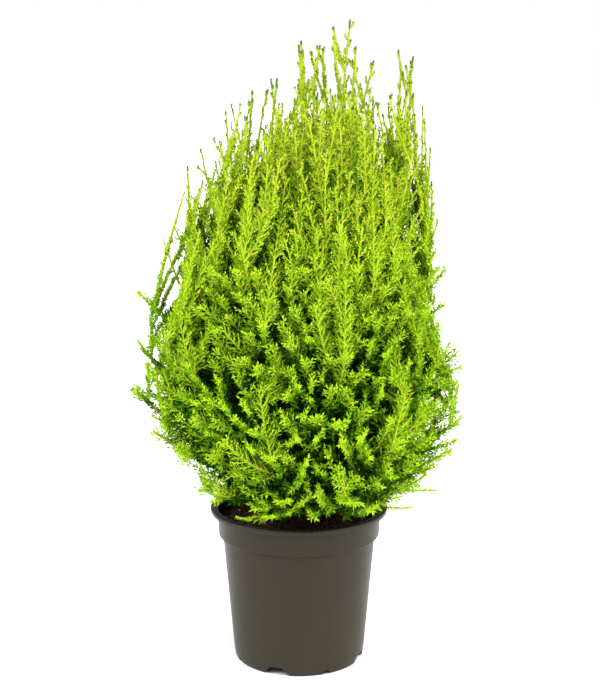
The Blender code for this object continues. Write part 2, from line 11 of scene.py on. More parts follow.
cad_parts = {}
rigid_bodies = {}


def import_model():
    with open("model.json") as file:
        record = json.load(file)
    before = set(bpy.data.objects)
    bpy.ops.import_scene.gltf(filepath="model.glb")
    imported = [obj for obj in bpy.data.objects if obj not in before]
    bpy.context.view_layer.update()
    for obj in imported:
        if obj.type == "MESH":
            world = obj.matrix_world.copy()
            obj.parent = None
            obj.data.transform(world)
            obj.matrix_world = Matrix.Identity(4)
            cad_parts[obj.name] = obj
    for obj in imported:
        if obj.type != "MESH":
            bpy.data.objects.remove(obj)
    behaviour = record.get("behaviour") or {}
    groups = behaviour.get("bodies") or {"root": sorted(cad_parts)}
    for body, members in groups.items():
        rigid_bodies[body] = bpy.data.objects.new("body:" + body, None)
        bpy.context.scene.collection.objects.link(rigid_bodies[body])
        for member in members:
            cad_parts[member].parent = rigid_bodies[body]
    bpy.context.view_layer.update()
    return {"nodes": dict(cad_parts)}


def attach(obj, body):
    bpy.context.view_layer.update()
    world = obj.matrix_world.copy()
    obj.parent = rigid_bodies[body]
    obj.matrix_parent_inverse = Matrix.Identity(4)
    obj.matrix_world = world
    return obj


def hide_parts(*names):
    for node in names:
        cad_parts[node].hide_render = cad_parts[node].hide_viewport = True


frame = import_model()
print("frame loaded:", len(frame["nodes"]), "nodes")

# Everything is in metres, +Z up, with the origin under the middle of the pot and the front towards -Y.


# Materials

def opaque(colour):
    return (*colour, 1.0)


class Wire:
    # one output of a node; arithmetic on it adds Math nodes
    def __init__(self, owner, socket):
        self.owner = owner
        self.socket = socket

    def maths(self, operation, first, second):
        return self.owner.node("ShaderNodeMath", {"operation": operation}, {0: first, 1: second})

    def __add__(self, other):
        return self.maths("ADD", self, other)

    def __sub__(self, other):
        return self.maths("SUBTRACT", self, other)

    def __rsub__(self, other):
        return self.maths("SUBTRACT", other, self)

    def __mul__(self, other):
        return self.maths("MULTIPLY", self, other)

    __radd__ = __add__
    __rmul__ = __mul__


class NodeTree:
    # the nodes of a material or of the world; one method adds them all
    def __init__(self, tree):
        self.nodes, self.links = tree.nodes, tree.links

    def node(self, kind, settings=None, sockets=None, output=0):
        made = self.nodes.new(kind)
        for name, value in (settings or {}).items():
            if name == "stops":
                self.setStops(made.color_ramp, value)
            else:
                setattr(made, name, value)
        for key, value in (sockets or {}).items():
            self.plug(made.inputs[key], value)
        return Wire(self, made.outputs[output])

    def setStops(self, ramp, stops):
        while len(ramp.elements) < len(stops):
            ramp.elements.new(0.5)
        for element, (position, colour) in zip(ramp.elements, stops):
            element.position = position
            element.color = opaque(colour)

    def plug(self, target, value):
        if isinstance(value, Wire):
            self.links.new(value.socket, target)
        else:
            target.default_value = value

    def ramp(self, value, stops):
        return self.node("ShaderNodeValToRGB", {"stops": stops}, {"Fac": value})


class Finish(NodeTree):
    # a Principled material, with what is the same all over it set on the shader's own sockets
    def __init__(self, name, fixed):
        self.material = bpy.data.materials.new(name)
        self.material.use_nodes = True
        super().__init__(self.material.node_tree)
        self.shader = self.nodes["Principled BSDF"]
        for socket, value in fixed.items():
            self.shader.inputs[socket].default_value = value

    def feed(self, socket, value):
        self.plug(self.shader.inputs[socket], value)

    def places(self, scale=(1.0, 1.0, 1.0)):
        objectPlace = self.node("ShaderNodeTexCoord", output=3)
        return self.node("ShaderNodeMapping", {}, {"Vector": objectPlace, "Scale": scale})

    def noise(self, places, scale, detail=4.0, roughness=0.55):
        return self.node("ShaderNodeTexNoise", {},
                         {"Vector": places, "Scale": scale, "Detail": detail, "Roughness": roughness})

    def blend(self, share, first, second):
        return self.node("ShaderNodeMix", {"data_type": "RGBA"},
                         {0: share, 6: first, 7: second}, output=2)

    def bump(self, height, strength, distance):
        bumped = self.node("ShaderNodeBump", {},
                           {"Height": height, "Strength": strength, "Distance": distance})
        self.feed("Normal", bumped)


# Helpers for shapes and meshes

def curveAt(a, b, c, t):
    t = np.asarray(t, float)[..., None]
    return a * (1 - t) ** 2 + b * (2 * t * (1 - t)) + c * t ** 2


def direction(azimuth):
    angle = math.radians(azimuth)
    return np.array((math.sin(angle), -math.cos(angle), 0.0))


def shown(name, data):
    made = bpy.data.objects.new(name, data)
    bpy.context.scene.collection.objects.link(made)
    return made


def meshPiece(name, points, faces, finishes, tints=None):
    # faces are triangles or quads, as an array of vertex numbers
    mesh = bpy.data.meshes.new(name)
    sides = faces.shape[1]
    mesh.vertices.add(len(points))
    mesh.vertices.foreach_set("co", np.ascontiguousarray(points, np.float32).ravel())
    mesh.loops.add(faces.size)
    mesh.loops.foreach_set("vertex_index", np.ascontiguousarray(faces, np.int32).ravel())
    mesh.polygons.add(len(faces))
    mesh.polygons.foreach_set("loop_start", np.arange(0, faces.size, sides, dtype=np.int32))
    for finish in finishes:
        mesh.materials.append(finish.material)
    if tints is not None:
        mesh.polygons.foreach_set("material_index", np.ascontiguousarray(tints, np.int32))
    mesh.update(calc_edges=True)
    mesh.validate()
    mesh.shade_flat()
    return shown(name, mesh)


def outwardMesh(name, points, faces):
    # faces have any number of corners, and are turned outwards
    mesh = bpy.data.meshes.new(name)
    mesh.from_pydata([tuple(point) for point in points], [], [tuple(face) for face in faces])
    made = bmesh.new()
    made.from_mesh(mesh)
    bmesh.ops.recalc_face_normals(made, faces=made.faces)
    made.to_mesh(mesh)
    made.free()
    return mesh


def finishedPiece(name, points, faces, finish, smooth=True):
    mesh = outwardMesh(name, points, faces)
    mesh.materials.append(finish.material)
    if smooth:
        mesh.shade_smooth()
    return shown(name, mesh)


def standFor(piece, nodes):
    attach(piece, "root")
    if nodes:
        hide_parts(*nodes)
    print(piece.name, "has", sum(len(p.vertices) - 2 for p in piece.data.polygons), "triangles")


def unit(vectors):
    return vectors / np.maximum(np.linalg.norm(vectors, axis=-1, keepdims=True), 1e-12)


def ringFaces(rings, sides):
    # quads between rings of points, ring after ring
    ring, side = np.meshgrid(np.arange(rings - 1), np.arange(sides), indexing="ij")
    following = (side + 1) % sides
    quads = [ring * sides + side, ring * sides + following,
             (ring + 1) * sides + following, (ring + 1) * sides + side]
    return np.stack(quads, axis=-1).reshape(-1, 4)


# Camera, light and floor

studio = {
    "cameraPlace": (0.001, -1.3745, 0.5639),
    "cameraDown": 0.18396,           # radians below level
    "lens": 78.42, "sensor": 36.0,   # mm, the sensor along the picture's long side
    "clips": (0.05, 50.0),
    # up to which height the horizon is how bright, and from which height the sky overhead
    "sky": ((0.08, 1.0), (0.14, 0.30)),
    # soft lights: direction that they come from, strength and how wide they are in degrees
    "lights": (("frontLight", (-0.10, -1.0, 1.50), 1.05, 40.0),
               ("leftLight", (-1.0, -0.30, 0.90), 3.2, 50.0),
               ("rightLight", (1.0, -0.30, 0.90), 4.1, 50.0)),
    "floorSize": 40.0, "floorColour": (0.97, 0.97, 0.97), "floorRoughness": 0.9,
}


def softLight(name, comesFrom, strength, width):
    lamp = bpy.data.lights.new(name, "SUN")
    lamp.energy = strength
    lamp.angle = math.radians(width)
    shown(name, lamp).rotation_euler = Vector(comesFrom).to_track_quat("Z", "Y").to_euler()


def paleSurroundings():
    # white round the horizon and greyer overhead
    world = bpy.data.worlds.new("studio")
    world.use_nodes = True
    sky = NodeTree(world.node_tree)
    height = sky.node("ShaderNodeSeparateXYZ", {}, {0: sky.node("ShaderNodeTexCoord")}, output=2)
    stops = [(place, (brightness,) * 3) for place, brightness in studio["sky"]]
    sky.plug(sky.nodes["Background"].inputs["Color"], sky.ramp(height, stops))
    bpy.context.scene.world = world


def makeStudio():
    scene = bpy.context.scene
    lens = bpy.data.cameras.new("camera")
    lens.lens, lens.sensor_width = studio["lens"], studio["sensor"]
    lens.clip_start, lens.clip_end = studio["clips"]
    scene.camera = shown("camera", lens)
    scene.camera.location = studio["cameraPlace"]
    scene.camera.rotation_euler = (math.pi / 2 - studio["cameraDown"], 0.0, 0.0)
    for light in studio["lights"]:
        softLight(*light)
    paleSurroundings()
    scene.view_settings.view_transform = "Standard"
    paper = Finish("paleFloor", {"Base Color": opaque(studio["floorColour"]),
                                 "Roughness": studio["floorRoughness"]})
    half = studio["floorSize"] / 2
    corners = np.array([(-half, -half, 0.0), (half, -half, 0.0), (half, half, 0.0), (-half, half, 0.0)])
    floor = meshPiece("floor", corners, np.array([[0, 1, 2, 3]]), [paper])


makeStudio()
print("camera, lights and floor are in place")


# Pot

pot = {
    # the pot's section as (radius, height, rounding), up the inside and down the outside
    "section": (
        (0.0614, 0.0096, 0.0015), (0.0711, 0.1197, 0.0020), (0.0756, 0.1239, 0.0020),
        (0.0766, 0.1445, 0.0030), (0.0785, 0.1490, 0.0016), (0.0850, 0.1490, 0.0019),
        (0.0842, 0.1445, 0.0005), (0.0781, 0.1445, 0.0008), (0.0769, 0.1225, 0.0011),
        (0.0727, 0.1196, 0.0010), (0.0628, 0.0085, 0.0030), (0.0616, 0.0012, 0.0020),
        (0.0600, 0.0000, 0.0003), (0.0586, 0.0000, 0.0003), (0.0586, 0.0082, 0.0003),
    ),
    "steps": 192, "roundingSteps": 5, "roundingRoom": 0.45, "sharpFrom": 34.0,
    # openings round the foot: azimuths, width at the foot and at the top, height, steps
    "openings": (((-20, 70, 160, 250), 0.028, 0.010, 0.0080, 12),
                 ((25, 115, 205, 295), 0.0065, 0.0045, 0.0042, 6)),
    "footRadius": 0.060, "cutDepth": 0.012, "cutBelow": 0.004,
    "drainRadius": 0.0050, "drainCircle": 0.043, "drainSteps": 28, "drainDepth": 0.006, "underside": 0.0082,
    "colour": (0.0214, 0.0164, 0.0095), "cloudScale": 9.0, "cloudLighter": 1.15,
    "scuffColour": (0.058, 0.050, 0.038), "scuffScale": 60.0, "scuffFrom": (0.62, 0.80), "scuffShare": 0.22,
    "scuffStretch": (1.0, 1.0, 0.25), "gloss": 0.2, "grainScale": 900.0, "grainBump": (0.10, 0.0004),
    # least roughness, and what the clouds, the grain and the scuffs add to it
    "roughness": 0.31, "cloudRough": 0.10, "grainRough": 0.05, "scuffRough": 0.4,
}


def roundedSection(corners, steps):
    # each corner gives way to an arc that touches both of its sides
    places = [np.array(corner[:2]) for corner in corners]
    section = [places[0]]
    for before, here, after, (_, _, rounding) in zip(places, places[1:], places[2:], corners[1:]):
        back, ahead = unit(before - here), unit(after - here)
        turn = math.acos(float(np.clip(back @ ahead, -1.0, 1.0)))
        room = pot["roundingRoom"] * min(np.linalg.norm(before - here), np.linalg.norm(after - here))
        reach = min(rounding / math.tan(turn / 2), room)
        arc = curveAt(here + back * reach, here, here + ahead * reach, np.linspace(0.0, 1.0, steps))
        section += list(arc)
    section.append(places[-1])
    return np.array(section)


def turnedMesh(section, steps):
    # points and quads of a section turned round the Z axis
    angles = np.linspace(0.0, 2 * math.pi, steps, endpoint=False)
    circle = np.stack([np.sin(angles), -np.cos(angles)], axis=-1)
    flat = section[:, 0, None, None] * circle[None]
    heights = np.broadcast_to(section[:, 1, None, None], (len(section), steps, 1))
    return np.concatenate([flat, heights], axis=-1).reshape(-1, 3), ringFaces(len(section), steps)


def openingOutline(width, topWidth, height, steps):
    # a bell-shaped opening from its right foot over the top to its left foot
    shares = np.linspace(0.0, 1.0, steps)
    across = (width + (topWidth - width) * shares) / 2
    up = height * shares * shares * (3 - 2 * shares)
    right = np.stack([across, up], axis=-1)
    left = right[::-1] * (-1, 1)
    return np.concatenate([[(width / 2, -pot["cutBelow"])], right, left, [(-width / 2, -pot["cutBelow"])]])


def cutterBetween(first, second):
    # the closed prism between two rings of points
    count = len(first)
    caps = [range(count)[::-1], range(count, 2 * count)]
    mesh = outwardMesh("cutter", [*first, *second], [*ringFaces(2, count), *caps])
    return bpy.data.objects.new("cutter", mesh)


def openingCutter(outline, azimuth):
    # an outline of (across, up) pairs drawn out through the pot's foot
    out, side = direction(azimuth), direction(azimuth + 90)
    radii = (pot["footRadius"] - pot["cutDepth"], pot["footRadius"] + pot["cutDepth"])
    return cutterBetween(*(out * radius + outline[:, :1] * side + outline[:, 1:] * (0.0, 0.0, 1.0)
                           for radius in radii))


def drainCutter(place):
    lowest, highest = pot["underside"] - pot["drainDepth"], pot["underside"] + pot["drainDepth"]
    wall = np.array([(pot["drainRadius"], lowest), (pot["drainRadius"], highest)])
    points, _ = turnedMesh(wall, pot["drainSteps"])
    return cutterBetween(*(points + place).reshape(2, -1, 3))


def potCutters():
    # a drain hole lies inwards of each wide opening, and one more in the middle
    for azimuths, width, topWidth, height, steps in pot["openings"]:
        for azimuth in azimuths:
            yield openingCutter(openingOutline(width, topWidth, height, steps), azimuth)
    for azimuth in pot["openings"][0][0]:
        yield drainCutter(direction(azimuth) * pot["drainCircle"])
    yield drainCutter((0.0, 0.0, 0.0))


def potPlastic():
    finish = Finish("potPlastic", {"Specular IOR Level": pot["gloss"]})
    places = finish.places()
    cloud = finish.noise(places, pot["cloudScale"], 3.0)
    grain = finish.noise(places, pot["grainScale"], 2.0)
    scuffs = finish.noise(finish.places(pot["scuffStretch"]), pot["scuffScale"], 6.0, 0.7)
    scuffMask = finish.ramp(scuffs, list(zip(pot["scuffFrom"], ((0, 0, 0), (1, 1, 1)))))
    lighter = [c * pot["cloudLighter"] for c in pot["colour"]]
    colour = finish.blend(cloud, opaque(pot["colour"]), opaque(lighter))
    share = finish.node("ShaderNodeRGBToBW", {}, {"Color": scuffMask}) * pot["scuffShare"]
    finish.feed("Base Color", finish.blend(share, colour, opaque(pot["scuffColour"])))
    rough = cloud * pot["cloudRough"] + grain * pot["grainRough"] + pot["roughness"]
    finish.feed("Roughness", rough + share * pot["scuffRough"])
    finish.bump(grain + cloud * 0.5, *pot["grainBump"])
    return finish


def makePot():
    steps = pot["steps"]
    points, quads = turnedMesh(roundedSection(pot["section"], pot["roundingSteps"]), steps)
    innerFloor, underside = range(steps)[::-1], range(len(points) - steps, len(points))
    shell = shown("pot_shell", outwardMesh("potShell", points, [*quads, innerFloor, underside]))
    cutters = bpy.data.collections.new("potCutters")
    bpy.context.scene.collection.children.link(cutters)
    for cutter in potCutters():
        cutters.objects.link(cutter)
    cut = shell.modifiers.new("openings", "BOOLEAN")
    cut.operand_type = "COLLECTION"
    cut.collection = cutters
    cut.solver = "EXACT"
    bpy.context.view_layer.update()
    cutMesh = bpy.data.meshes.new_from_object(shell.evaluated_get(bpy.context.evaluated_depsgraph_get()))
    shell.modifiers.clear()
    shell.data = cutMesh
    for cutter in list(cutters.objects):
        bpy.data.objects.remove(cutter)
    bpy.data.collections.remove(cutters)
    cutMesh.materials.clear()
    cutMesh.materials.append(potPlastic().material)
    cutMesh.shade_smooth()
    cutMesh.set_sharp_from_angle(angle=math.radians(pot["sharpFrom"]))
    standFor(shell, ["pot"])


makePot()


# Soil

soil = {
    "radius": 0.0752, "top": 0.1366, "rings": 64, "sectors": 168,
    "sideDrop": 0.012, "bottomRadius": 0.0705, "bottom": 0.1190,
    "lumpScale": 85.0, "lumpHeight": 0.00156, "grainScale": 420.0, "grainHeight": 0.0011,
    "dark": (0.012, 0.007, 0.0035), "brown": (0.055, 0.026, 0.012), "clodScale": 140.0, "speckScale": 700.0,
    "lighter": 1.6, "stops": (0.36, 0.55, 0.68), "speckShare": 0.3, "roughness": 0.98, "clodSmooth": 0.15,
    "gloss": 0.25, "bump": (0.8, 0.0012),
    # loose bits on top: how many, how large and how flat
    "crumbs": 620, "crumbSize": (0.0007, 0.0026), "crumbHigh": 0.7,
    "paleBits": 34, "paleSize": (0.0006, 0.0016), "paleHigh": 0.8,
    "paleColour": (0.50, 0.44, 0.36), "bitMargin": 0.002, "smallBits": 2.5,
    "corners": (0.7, 1.25), "narrower": (0.6, 1.0), "raised": 0.25,
    "fibres": 70, "fibreMargin": 0.008, "fibreLength": (0.004, 0.013), "fibreBend": 1.2,
    "fibreThick": (0.00012, 0.00032), "fibreTaper": 0.6, "fibreMiddle": 0.02,
    "fibreArch": 0.0012, "fibreColour": (0.15, 0.075, 0.032),
    "seed": 5,
}


def soilHeight(x, y):
    place = Vector((x * soil["lumpScale"], y * soil["lumpScale"], 3.0))
    fine = Vector((x * soil["grainScale"], y * soil["grainScale"], 7.0))
    lump = noise.fractal(place, 0.9, 2.1, 3)
    return soil["top"] + soil["lumpHeight"] * lump + soil["grainHeight"] * noise.noise(fine)


def soilFinish():
    finish = Finish("pottingSoil", {"Specular IOR Level": soil["gloss"]})
    places = finish.places()
    clods = finish.noise(places, soil["clodScale"], 6.0, 0.65)
    specks = finish.noise(places, soil["speckScale"], 3.0, 0.7)
    light = [c * soil["lighter"] for c in soil["brown"]]
    mixed = clods * (1 - soil["speckShare"]) + specks * soil["speckShare"]
    colours = (soil["dark"], soil["brown"], light)
    finish.feed("Base Color", finish.ramp(mixed, list(zip(soil["stops"], colours))))
    finish.feed("Roughness", soil["roughness"] - clods * soil["clodSmooth"])
    finish.bump(clods + specks * 0.6, *soil["bump"])
    return finish


def makeSoil():
    # rings on the lumpy top, two for the side, and a point in the middle above and below
    rings, sectors = soil["rings"], soil["sectors"]
    points = []
    for i in range(1, rings + 1):
        radius = soil["radius"] * i / rings
        for k in range(sectors):
            angle = 2 * math.pi * (k + 0.5 * (i % 2)) / sectors
            x, y = radius * math.sin(angle), -radius * math.cos(angle)
            points.append((x, y, soilHeight(x, y)))
    side = [(soil["radius"], soil["top"] - soil["sideDrop"]), (soil["bottomRadius"], soil["bottom"])]
    points += turnedMesh(np.array(side), sectors)[0].tolist()
    count, last = len(points), len(points) - sectors
    points += [(0.0, 0.0, soilHeight(0.0, 0.0)), (0.0, 0.0, soil["bottom"])]
    middle = [(count, k, (k + 1) % sectors) for k in range(sectors)]
    under = [(count + 1, last + (k + 1) % sectors, last + k) for k in range(sectors)]
    bed = finishedPiece("soil_bed", points, [*ringFaces(rings + 2, sectors), *middle, *under], soilFinish())
    standFor(bed, ["soil"])


def lumpTemplate():
    # an icosahedron of radius 1, whose neighbouring corners are 1.05 apart
    golden = (1 + math.sqrt(5)) / 2
    corners = []
    for a in (-1.0, 1.0):
        for b in (-golden, golden):
            corners += [(0.0, a, b), (a, b, 0.0), (b, 0.0, a)]
    corners = unit(np.array(corners))
    faces = []
    for i, j, k in itertools.combinations(range(12), 3):
        sides = [np.linalg.norm(corners[a] - corners[b]) for a, b in ((i, j), (j, k), (k, i))]
        if max(sides) < 1.1:
            outward = np.cross(corners[j] - corners[i], corners[k] - corners[i])
            faces.append((i, j, k) if outward @ corners[i] > 0 else (i, k, j))
    return corners, np.array(faces)


def soilSpot(rng, margin, nearest=0.0):
    angle = rng.uniform(0.0, 2 * math.pi)
    radius = (soil["radius"] - margin) * math.sqrt(rng.uniform(nearest, 1.0))
    return radius * math.sin(angle), radius * math.cos(angle)


def scatterLumps(name, count, sizes, finish, rng, high):
    # rough grains that lie half sunk in the soil
    corners, faces = lumpTemplate()
    points = []
    for _ in range(count):
        x, y = soilSpot(rng, soil["bitMargin"])
        size = sizes[0] + (sizes[1] - sizes[0]) * rng.uniform(0.0, 1.0) ** soil["smallBits"]
        shape = corners * size * np.array([[rng.uniform(*soil["corners"])] for _ in corners])
        shape = shape * (1.0, rng.uniform(*soil["narrower"]), high)
        turn = rng.uniform(0.0, 2 * math.pi)
        east, north = math.cos(turn), math.sin(turn)
        spin = np.array([(east, -north, 0), (north, east, 0), (0, 0, 1)])
        points.append(shape @ spin.T + (x, y, soilHeight(x, y) + size * soil["raised"]))
    allFaces = faces[None] + len(corners) * np.arange(count)[:, None, None]
    piece = meshPiece(name, np.concatenate(points), allFaces.reshape(-1, 3), [finish])
    standFor(piece, [])


def fibreStrands(name, count, finish, rng):
    # short root and peat fibres, three-sided and bent; each third one arches off the soil
    sides, rings = 3, 6
    points, faces = [], []
    for number in range(count):
        x, y = soilSpot(rng, soil["fibreMargin"], soil["fibreMiddle"])
        heading = rng.uniform(0.0, 2 * math.pi)
        length = rng.uniform(*soil["fibreLength"])
        bend = rng.uniform(-soil["fibreBend"], soil["fibreBend"])
        thick = rng.uniform(*soil["fibreThick"])
        for share in np.linspace(0.0, 1.0, rings):
            course = heading + bend * share
            along = np.array((math.cos(course), math.sin(course), 0.0))
            centre = np.array((x, y, 0.0)) + along * length * (share - 0.5)
            lift = thick + soil["fibreArch"] * math.sin(math.pi * share) * (number % 3 == 0)
            centre[2] = soilHeight(centre[0], centre[1]) + lift
            across = np.array((-along[1], along[0], 0.0))
            for k in range(sides):
                roll = 2 * math.pi * k / sides
                spot = across * math.cos(roll) + np.array((0, 0, 1)) * math.sin(roll)
                points.append(centre + spot * thick * (1 - soil["fibreTaper"] * share))
        start, end = number * sides * rings, (number + 1) * sides * rings
        faces += [*(ringFaces(rings, sides) + start), range(start, start + sides)[::-1]]
        faces.append(range(end - sides, end))
    piece = finishedPiece(name, points, faces, finish, smooth=False)
    standFor(piece, [])


def dressSoil():
    rng = random.Random(soil["seed"])
    scatterLumps("soil_crumbs", soil["crumbs"], soil["crumbSize"], soilFinish(), rng,
                 soil["crumbHigh"])
    pale = Finish("paleGrit", {"Base Color": opaque(soil["paleColour"]), "Roughness": 0.9})
    scatterLumps("soil_grit", soil["paleBits"], soil["paleSize"], pale, rng, soil["paleHigh"])
    peat = Finish("peatFibre", {"Base Color": opaque(soil["fibreColour"]), "Roughness": 0.85})
    fibreStrands("soil_fibres", soil["fibres"], peat, rng)


makeSoil()
dressSoil()


# The plant's growth rule, as in the part's source

trunk = {
    "foot": np.array((0.007, 0.0, 0.1373)), "topTip": np.array((0.046, -0.004, 0.602)), "end": 0.455,
    "radius": 0.0052, "endRadius": 0.0019, "flare": 0.0030, "flareHeight": 0.007,
    "buttHeight": 0.012, "wave": 0.0035, "waveDepth": 0.6, "sides": 12,
}

# the crown's outline: height, middle in X, and reach from that middle
crown = np.array((
    (0.138, 0.008, 0.085), (0.150, 0.010, 0.104), (0.165, 0.013, 0.117), (0.195, 0.015, 0.134),
    (0.230, 0.007, 0.149), (0.258, -0.004, 0.160), (0.300, -0.001, 0.154), (0.350, -0.002, 0.148),
    (0.380, 0.000, 0.138), (0.415, 0.004, 0.130), (0.460, 0.012, 0.113), (0.490, 0.014, 0.108),
    (0.525, 0.024, 0.096), (0.550, 0.036, 0.077), (0.572, 0.048, 0.058), (0.584, 0.030, 0.034),
    (0.603, 0.046, 0.008),
))

limbRules = {
    # rings of limbs: plumes on each, how many, first azimuth, feet, height, spread, lift, bare share
    "tiers": (
        ("hem", 4, 5, 14, (0.1475, 0.158), 0.172, 0.55, 0.95, 0.0),
        ("skirt", 5, 7, 90, (0.162, 0.184), 0.238, 0.62, 0.34, 0.0),
        ("waist", 6, 7, 270, (0.189, 0.222), 0.318, 0.66, 0.26, 0.0),
        ("shoulder", 6, 6, 30, (0.228, 0.275), 0.420, 0.75, 0.28, 0.24),
        ("upper", 6, 6, 0, (0.285, 0.318), 0.498, 0.78, 0.28, 0.28),
    ),
    # the crown's two furthest tips at the sides
    "farTips": {"skirt_1": (0.154, -0.006, 0.236), "skirt_4": (-0.160, 0.026, 0.257)},
    # upright leaders: tip and the height of the foot
    "leaders": (
        ("right", (0.104, 0.005, 0.570), 0.336), ("left", (-0.062, 0.008, 0.527), 0.346),
        ("back", (-0.026, 0.034, 0.550), 0.358), ("middle", (0.000, -0.028, 0.580), 0.374),
        ("rear", (0.070, 0.044, 0.530), 0.388),
    ),
    "leaderPlumes": 5, "leaderBough": 0.26, "leaderSpread": 0.72, "leaderLift": 0.36,
    "shortestReach": 0.95, "heightJitter": 0.016, "azimuthJitter": 5.0,
    "radius": 0.0024, "tipRadius": 0.0009, "taper": 0.8, "gap": 0.0003, "startStep": 0.0002, "seed": 11,
}

plumeRules = {
    "first": 0.08, "last": 0.86, "length": 0.120, "shrink": 0.42, "angles": (32.0, 54.0),
    "topShare": 0.45, "topLength": 0.70, "choices": 10, "apart": 0.035, "shorter": 0.88,
    "rise": 0.35, "levels": 4, "bend": 0.5, "jitter": 0.03, "sizes": (0.90, 1.15),
    "shortest": 0.034, "highFrom": 0.40, "highAt": 0.56, "golden": 137.5, "room": 0.0025,
    "lowRadius": 0.055, "sampleStep": 0.006, "potTop": 0.149, "soilTop": 0.1392,
    "pointsAtOnce": 4000,            # spares memory
}


def trunkAxis(height):
    height = np.asarray(height, float)
    butt = trunk["foot"][2] + trunk["buttHeight"]
    share = np.maximum(0.0, (height - butt) / (trunk["topTip"][2] - butt))
    wave = trunk["wave"] * np.sin(2 * math.pi * share)
    lean = trunk["foot"] + (trunk["topTip"] - trunk["foot"]) * share[..., None]
    return np.stack([lean[..., 0] - wave, lean[..., 1] + wave * trunk["waveDepth"], height], axis=-1)


def trunkRadius(height):
    height = np.asarray(height, float)
    share = (height - trunk["foot"][2]) / (trunk["end"] - trunk["foot"][2])
    flare = trunk["flare"] * np.exp(-(height - trunk["foot"][2]) / trunk["flareHeight"])
    return trunk["radius"] + (trunk["endRadius"] - trunk["radius"]) * share + flare


def crownAt(height):
    return tuple(np.interp(height, crown[:, 0], crown[:, column]) for column in (1, 2))


def highness(height):
    # 0 in the lower crown and 1 among the top shoots
    span = plumeRules["highAt"] - plumeRules["highFrom"]
    return np.clip((np.asarray(height, float) - plumeRules["highFrom"]) / span, 0.0, 1.0)


class Limb:
    # a limb from the trunk out to a tip; bough is its bare share
    def __init__(self, name, footHeight, tip, spread, lift, bough, plumes):
        self.name, self.bough, self.plumes = name, bough, plumes
        self.tip = np.array(tip, float)
        self.root = trunkAxis(footHeight)
        self.bend = self.root + (self.tip - self.root) * (spread, spread, lift)
        steep = unit(self.bend - self.root)[2]
        self.start = self.shareClear(limbRules["gap"] + limbRules["radius"] * steep)
        self.leafStart = max(self.start, bough)

    def at(self, share):
        return curveAt(self.root, self.bend, self.tip, share)

    def ahead(self, share):
        return unit((self.bend - self.root) * (1 - share) + (self.tip - self.bend) * share)

    def shareClear(self, gap):
        shares = np.arange(0.0, 0.5, limbRules["startStep"])
        places = self.at(shares)
        across = np.linalg.norm((places - trunkAxis(places[:, 2]))[:, :2], axis=1)
        face = (1 + math.cos(math.pi / trunk["sides"])) / 2
        return shares[np.argmax(across - trunkRadius(places[:, 2]) * face >= gap)]

    def radius(self, share):
        thick, thin = limbRules["radius"], limbRules["tipRadius"]
        return thick + (thin - thick) * share ** limbRules["taper"]

    def length(self, first, last):
        places = self.at(np.linspace(first, last, 25))
        return np.linalg.norm(np.diff(places, axis=0), axis=1).sum()


class TopShoot(Limb):
    # the trunk's own continuation above its cut end
    def __init__(self):
        self.name, self.bough, self.plumes = "top", 0.0, limbRules["leaderPlumes"]
        self.tip = trunk["topTip"]
        self.root = trunkAxis(trunk["end"])
        self.bend = (self.root + self.tip) / 2 + (-0.003, 0.0, 0.0)
        self.start = 2 * limbRules["gap"] / np.linalg.norm(self.tip - self.root)
        self.leafStart = self.start

    def radius(self, share):
        return trunk["endRadius"] + (limbRules["tipRadius"] - trunk["endRadius"]) * share


def allLimbs():
    limbs = []
    for name, plumes, count, first, feet, height, spread, lift, bough in limbRules["tiers"]:
        rng = random.Random(f"{limbRules['seed']} {name}")
        for i in range(count):
            azimuth = first + 360.0 * i / count
            azimuth += rng.uniform(-limbRules["azimuthJitter"], limbRules["azimuthJitter"])
            level = height + rng.uniform(-limbRules["heightJitter"], limbRules["heightJitter"])
            middle, reach = crownAt(level)
            tip = direction(azimuth) * reach * rng.uniform(limbRules["shortestReach"], 1.0)
            tip = tip + (middle, 0.0, level)
            tip = limbRules["farTips"].get(f"{name}_{i + 1}", tip)
            foot = feet[0] + (feet[1] - feet[0]) * ((i * 3) % count) / count
            limbs.append(Limb(f"{name}_{i + 1}", foot, tip, spread, lift, bough, plumes))
    for name, tip, foot in limbRules["leaders"]:
        limbs.append(Limb(name, foot, tip, limbRules["leaderSpread"], limbRules["leaderLift"],
                          limbRules["leaderBough"], limbRules["leaderPlumes"]))
    limbs.append(TopShoot())
    return limbs


def underOutline(points):
    # how far points lie inside the crown's outline
    middle, reach = crownAt(points[:, 2])
    inside = reach - np.hypot(points[:, 0] - middle, points[:, 1])
    top = crown[-1, 0]
    return np.where(points[:, 2] > top, top - points[:, 2], inside)


def overPot(points):
    near = np.hypot(points[:, 0], points[:, 1]) < plumeRules["lowRadius"]
    return points[:, 2] - np.where(near, plumeRules["soilTop"], plumeRules["potTop"])


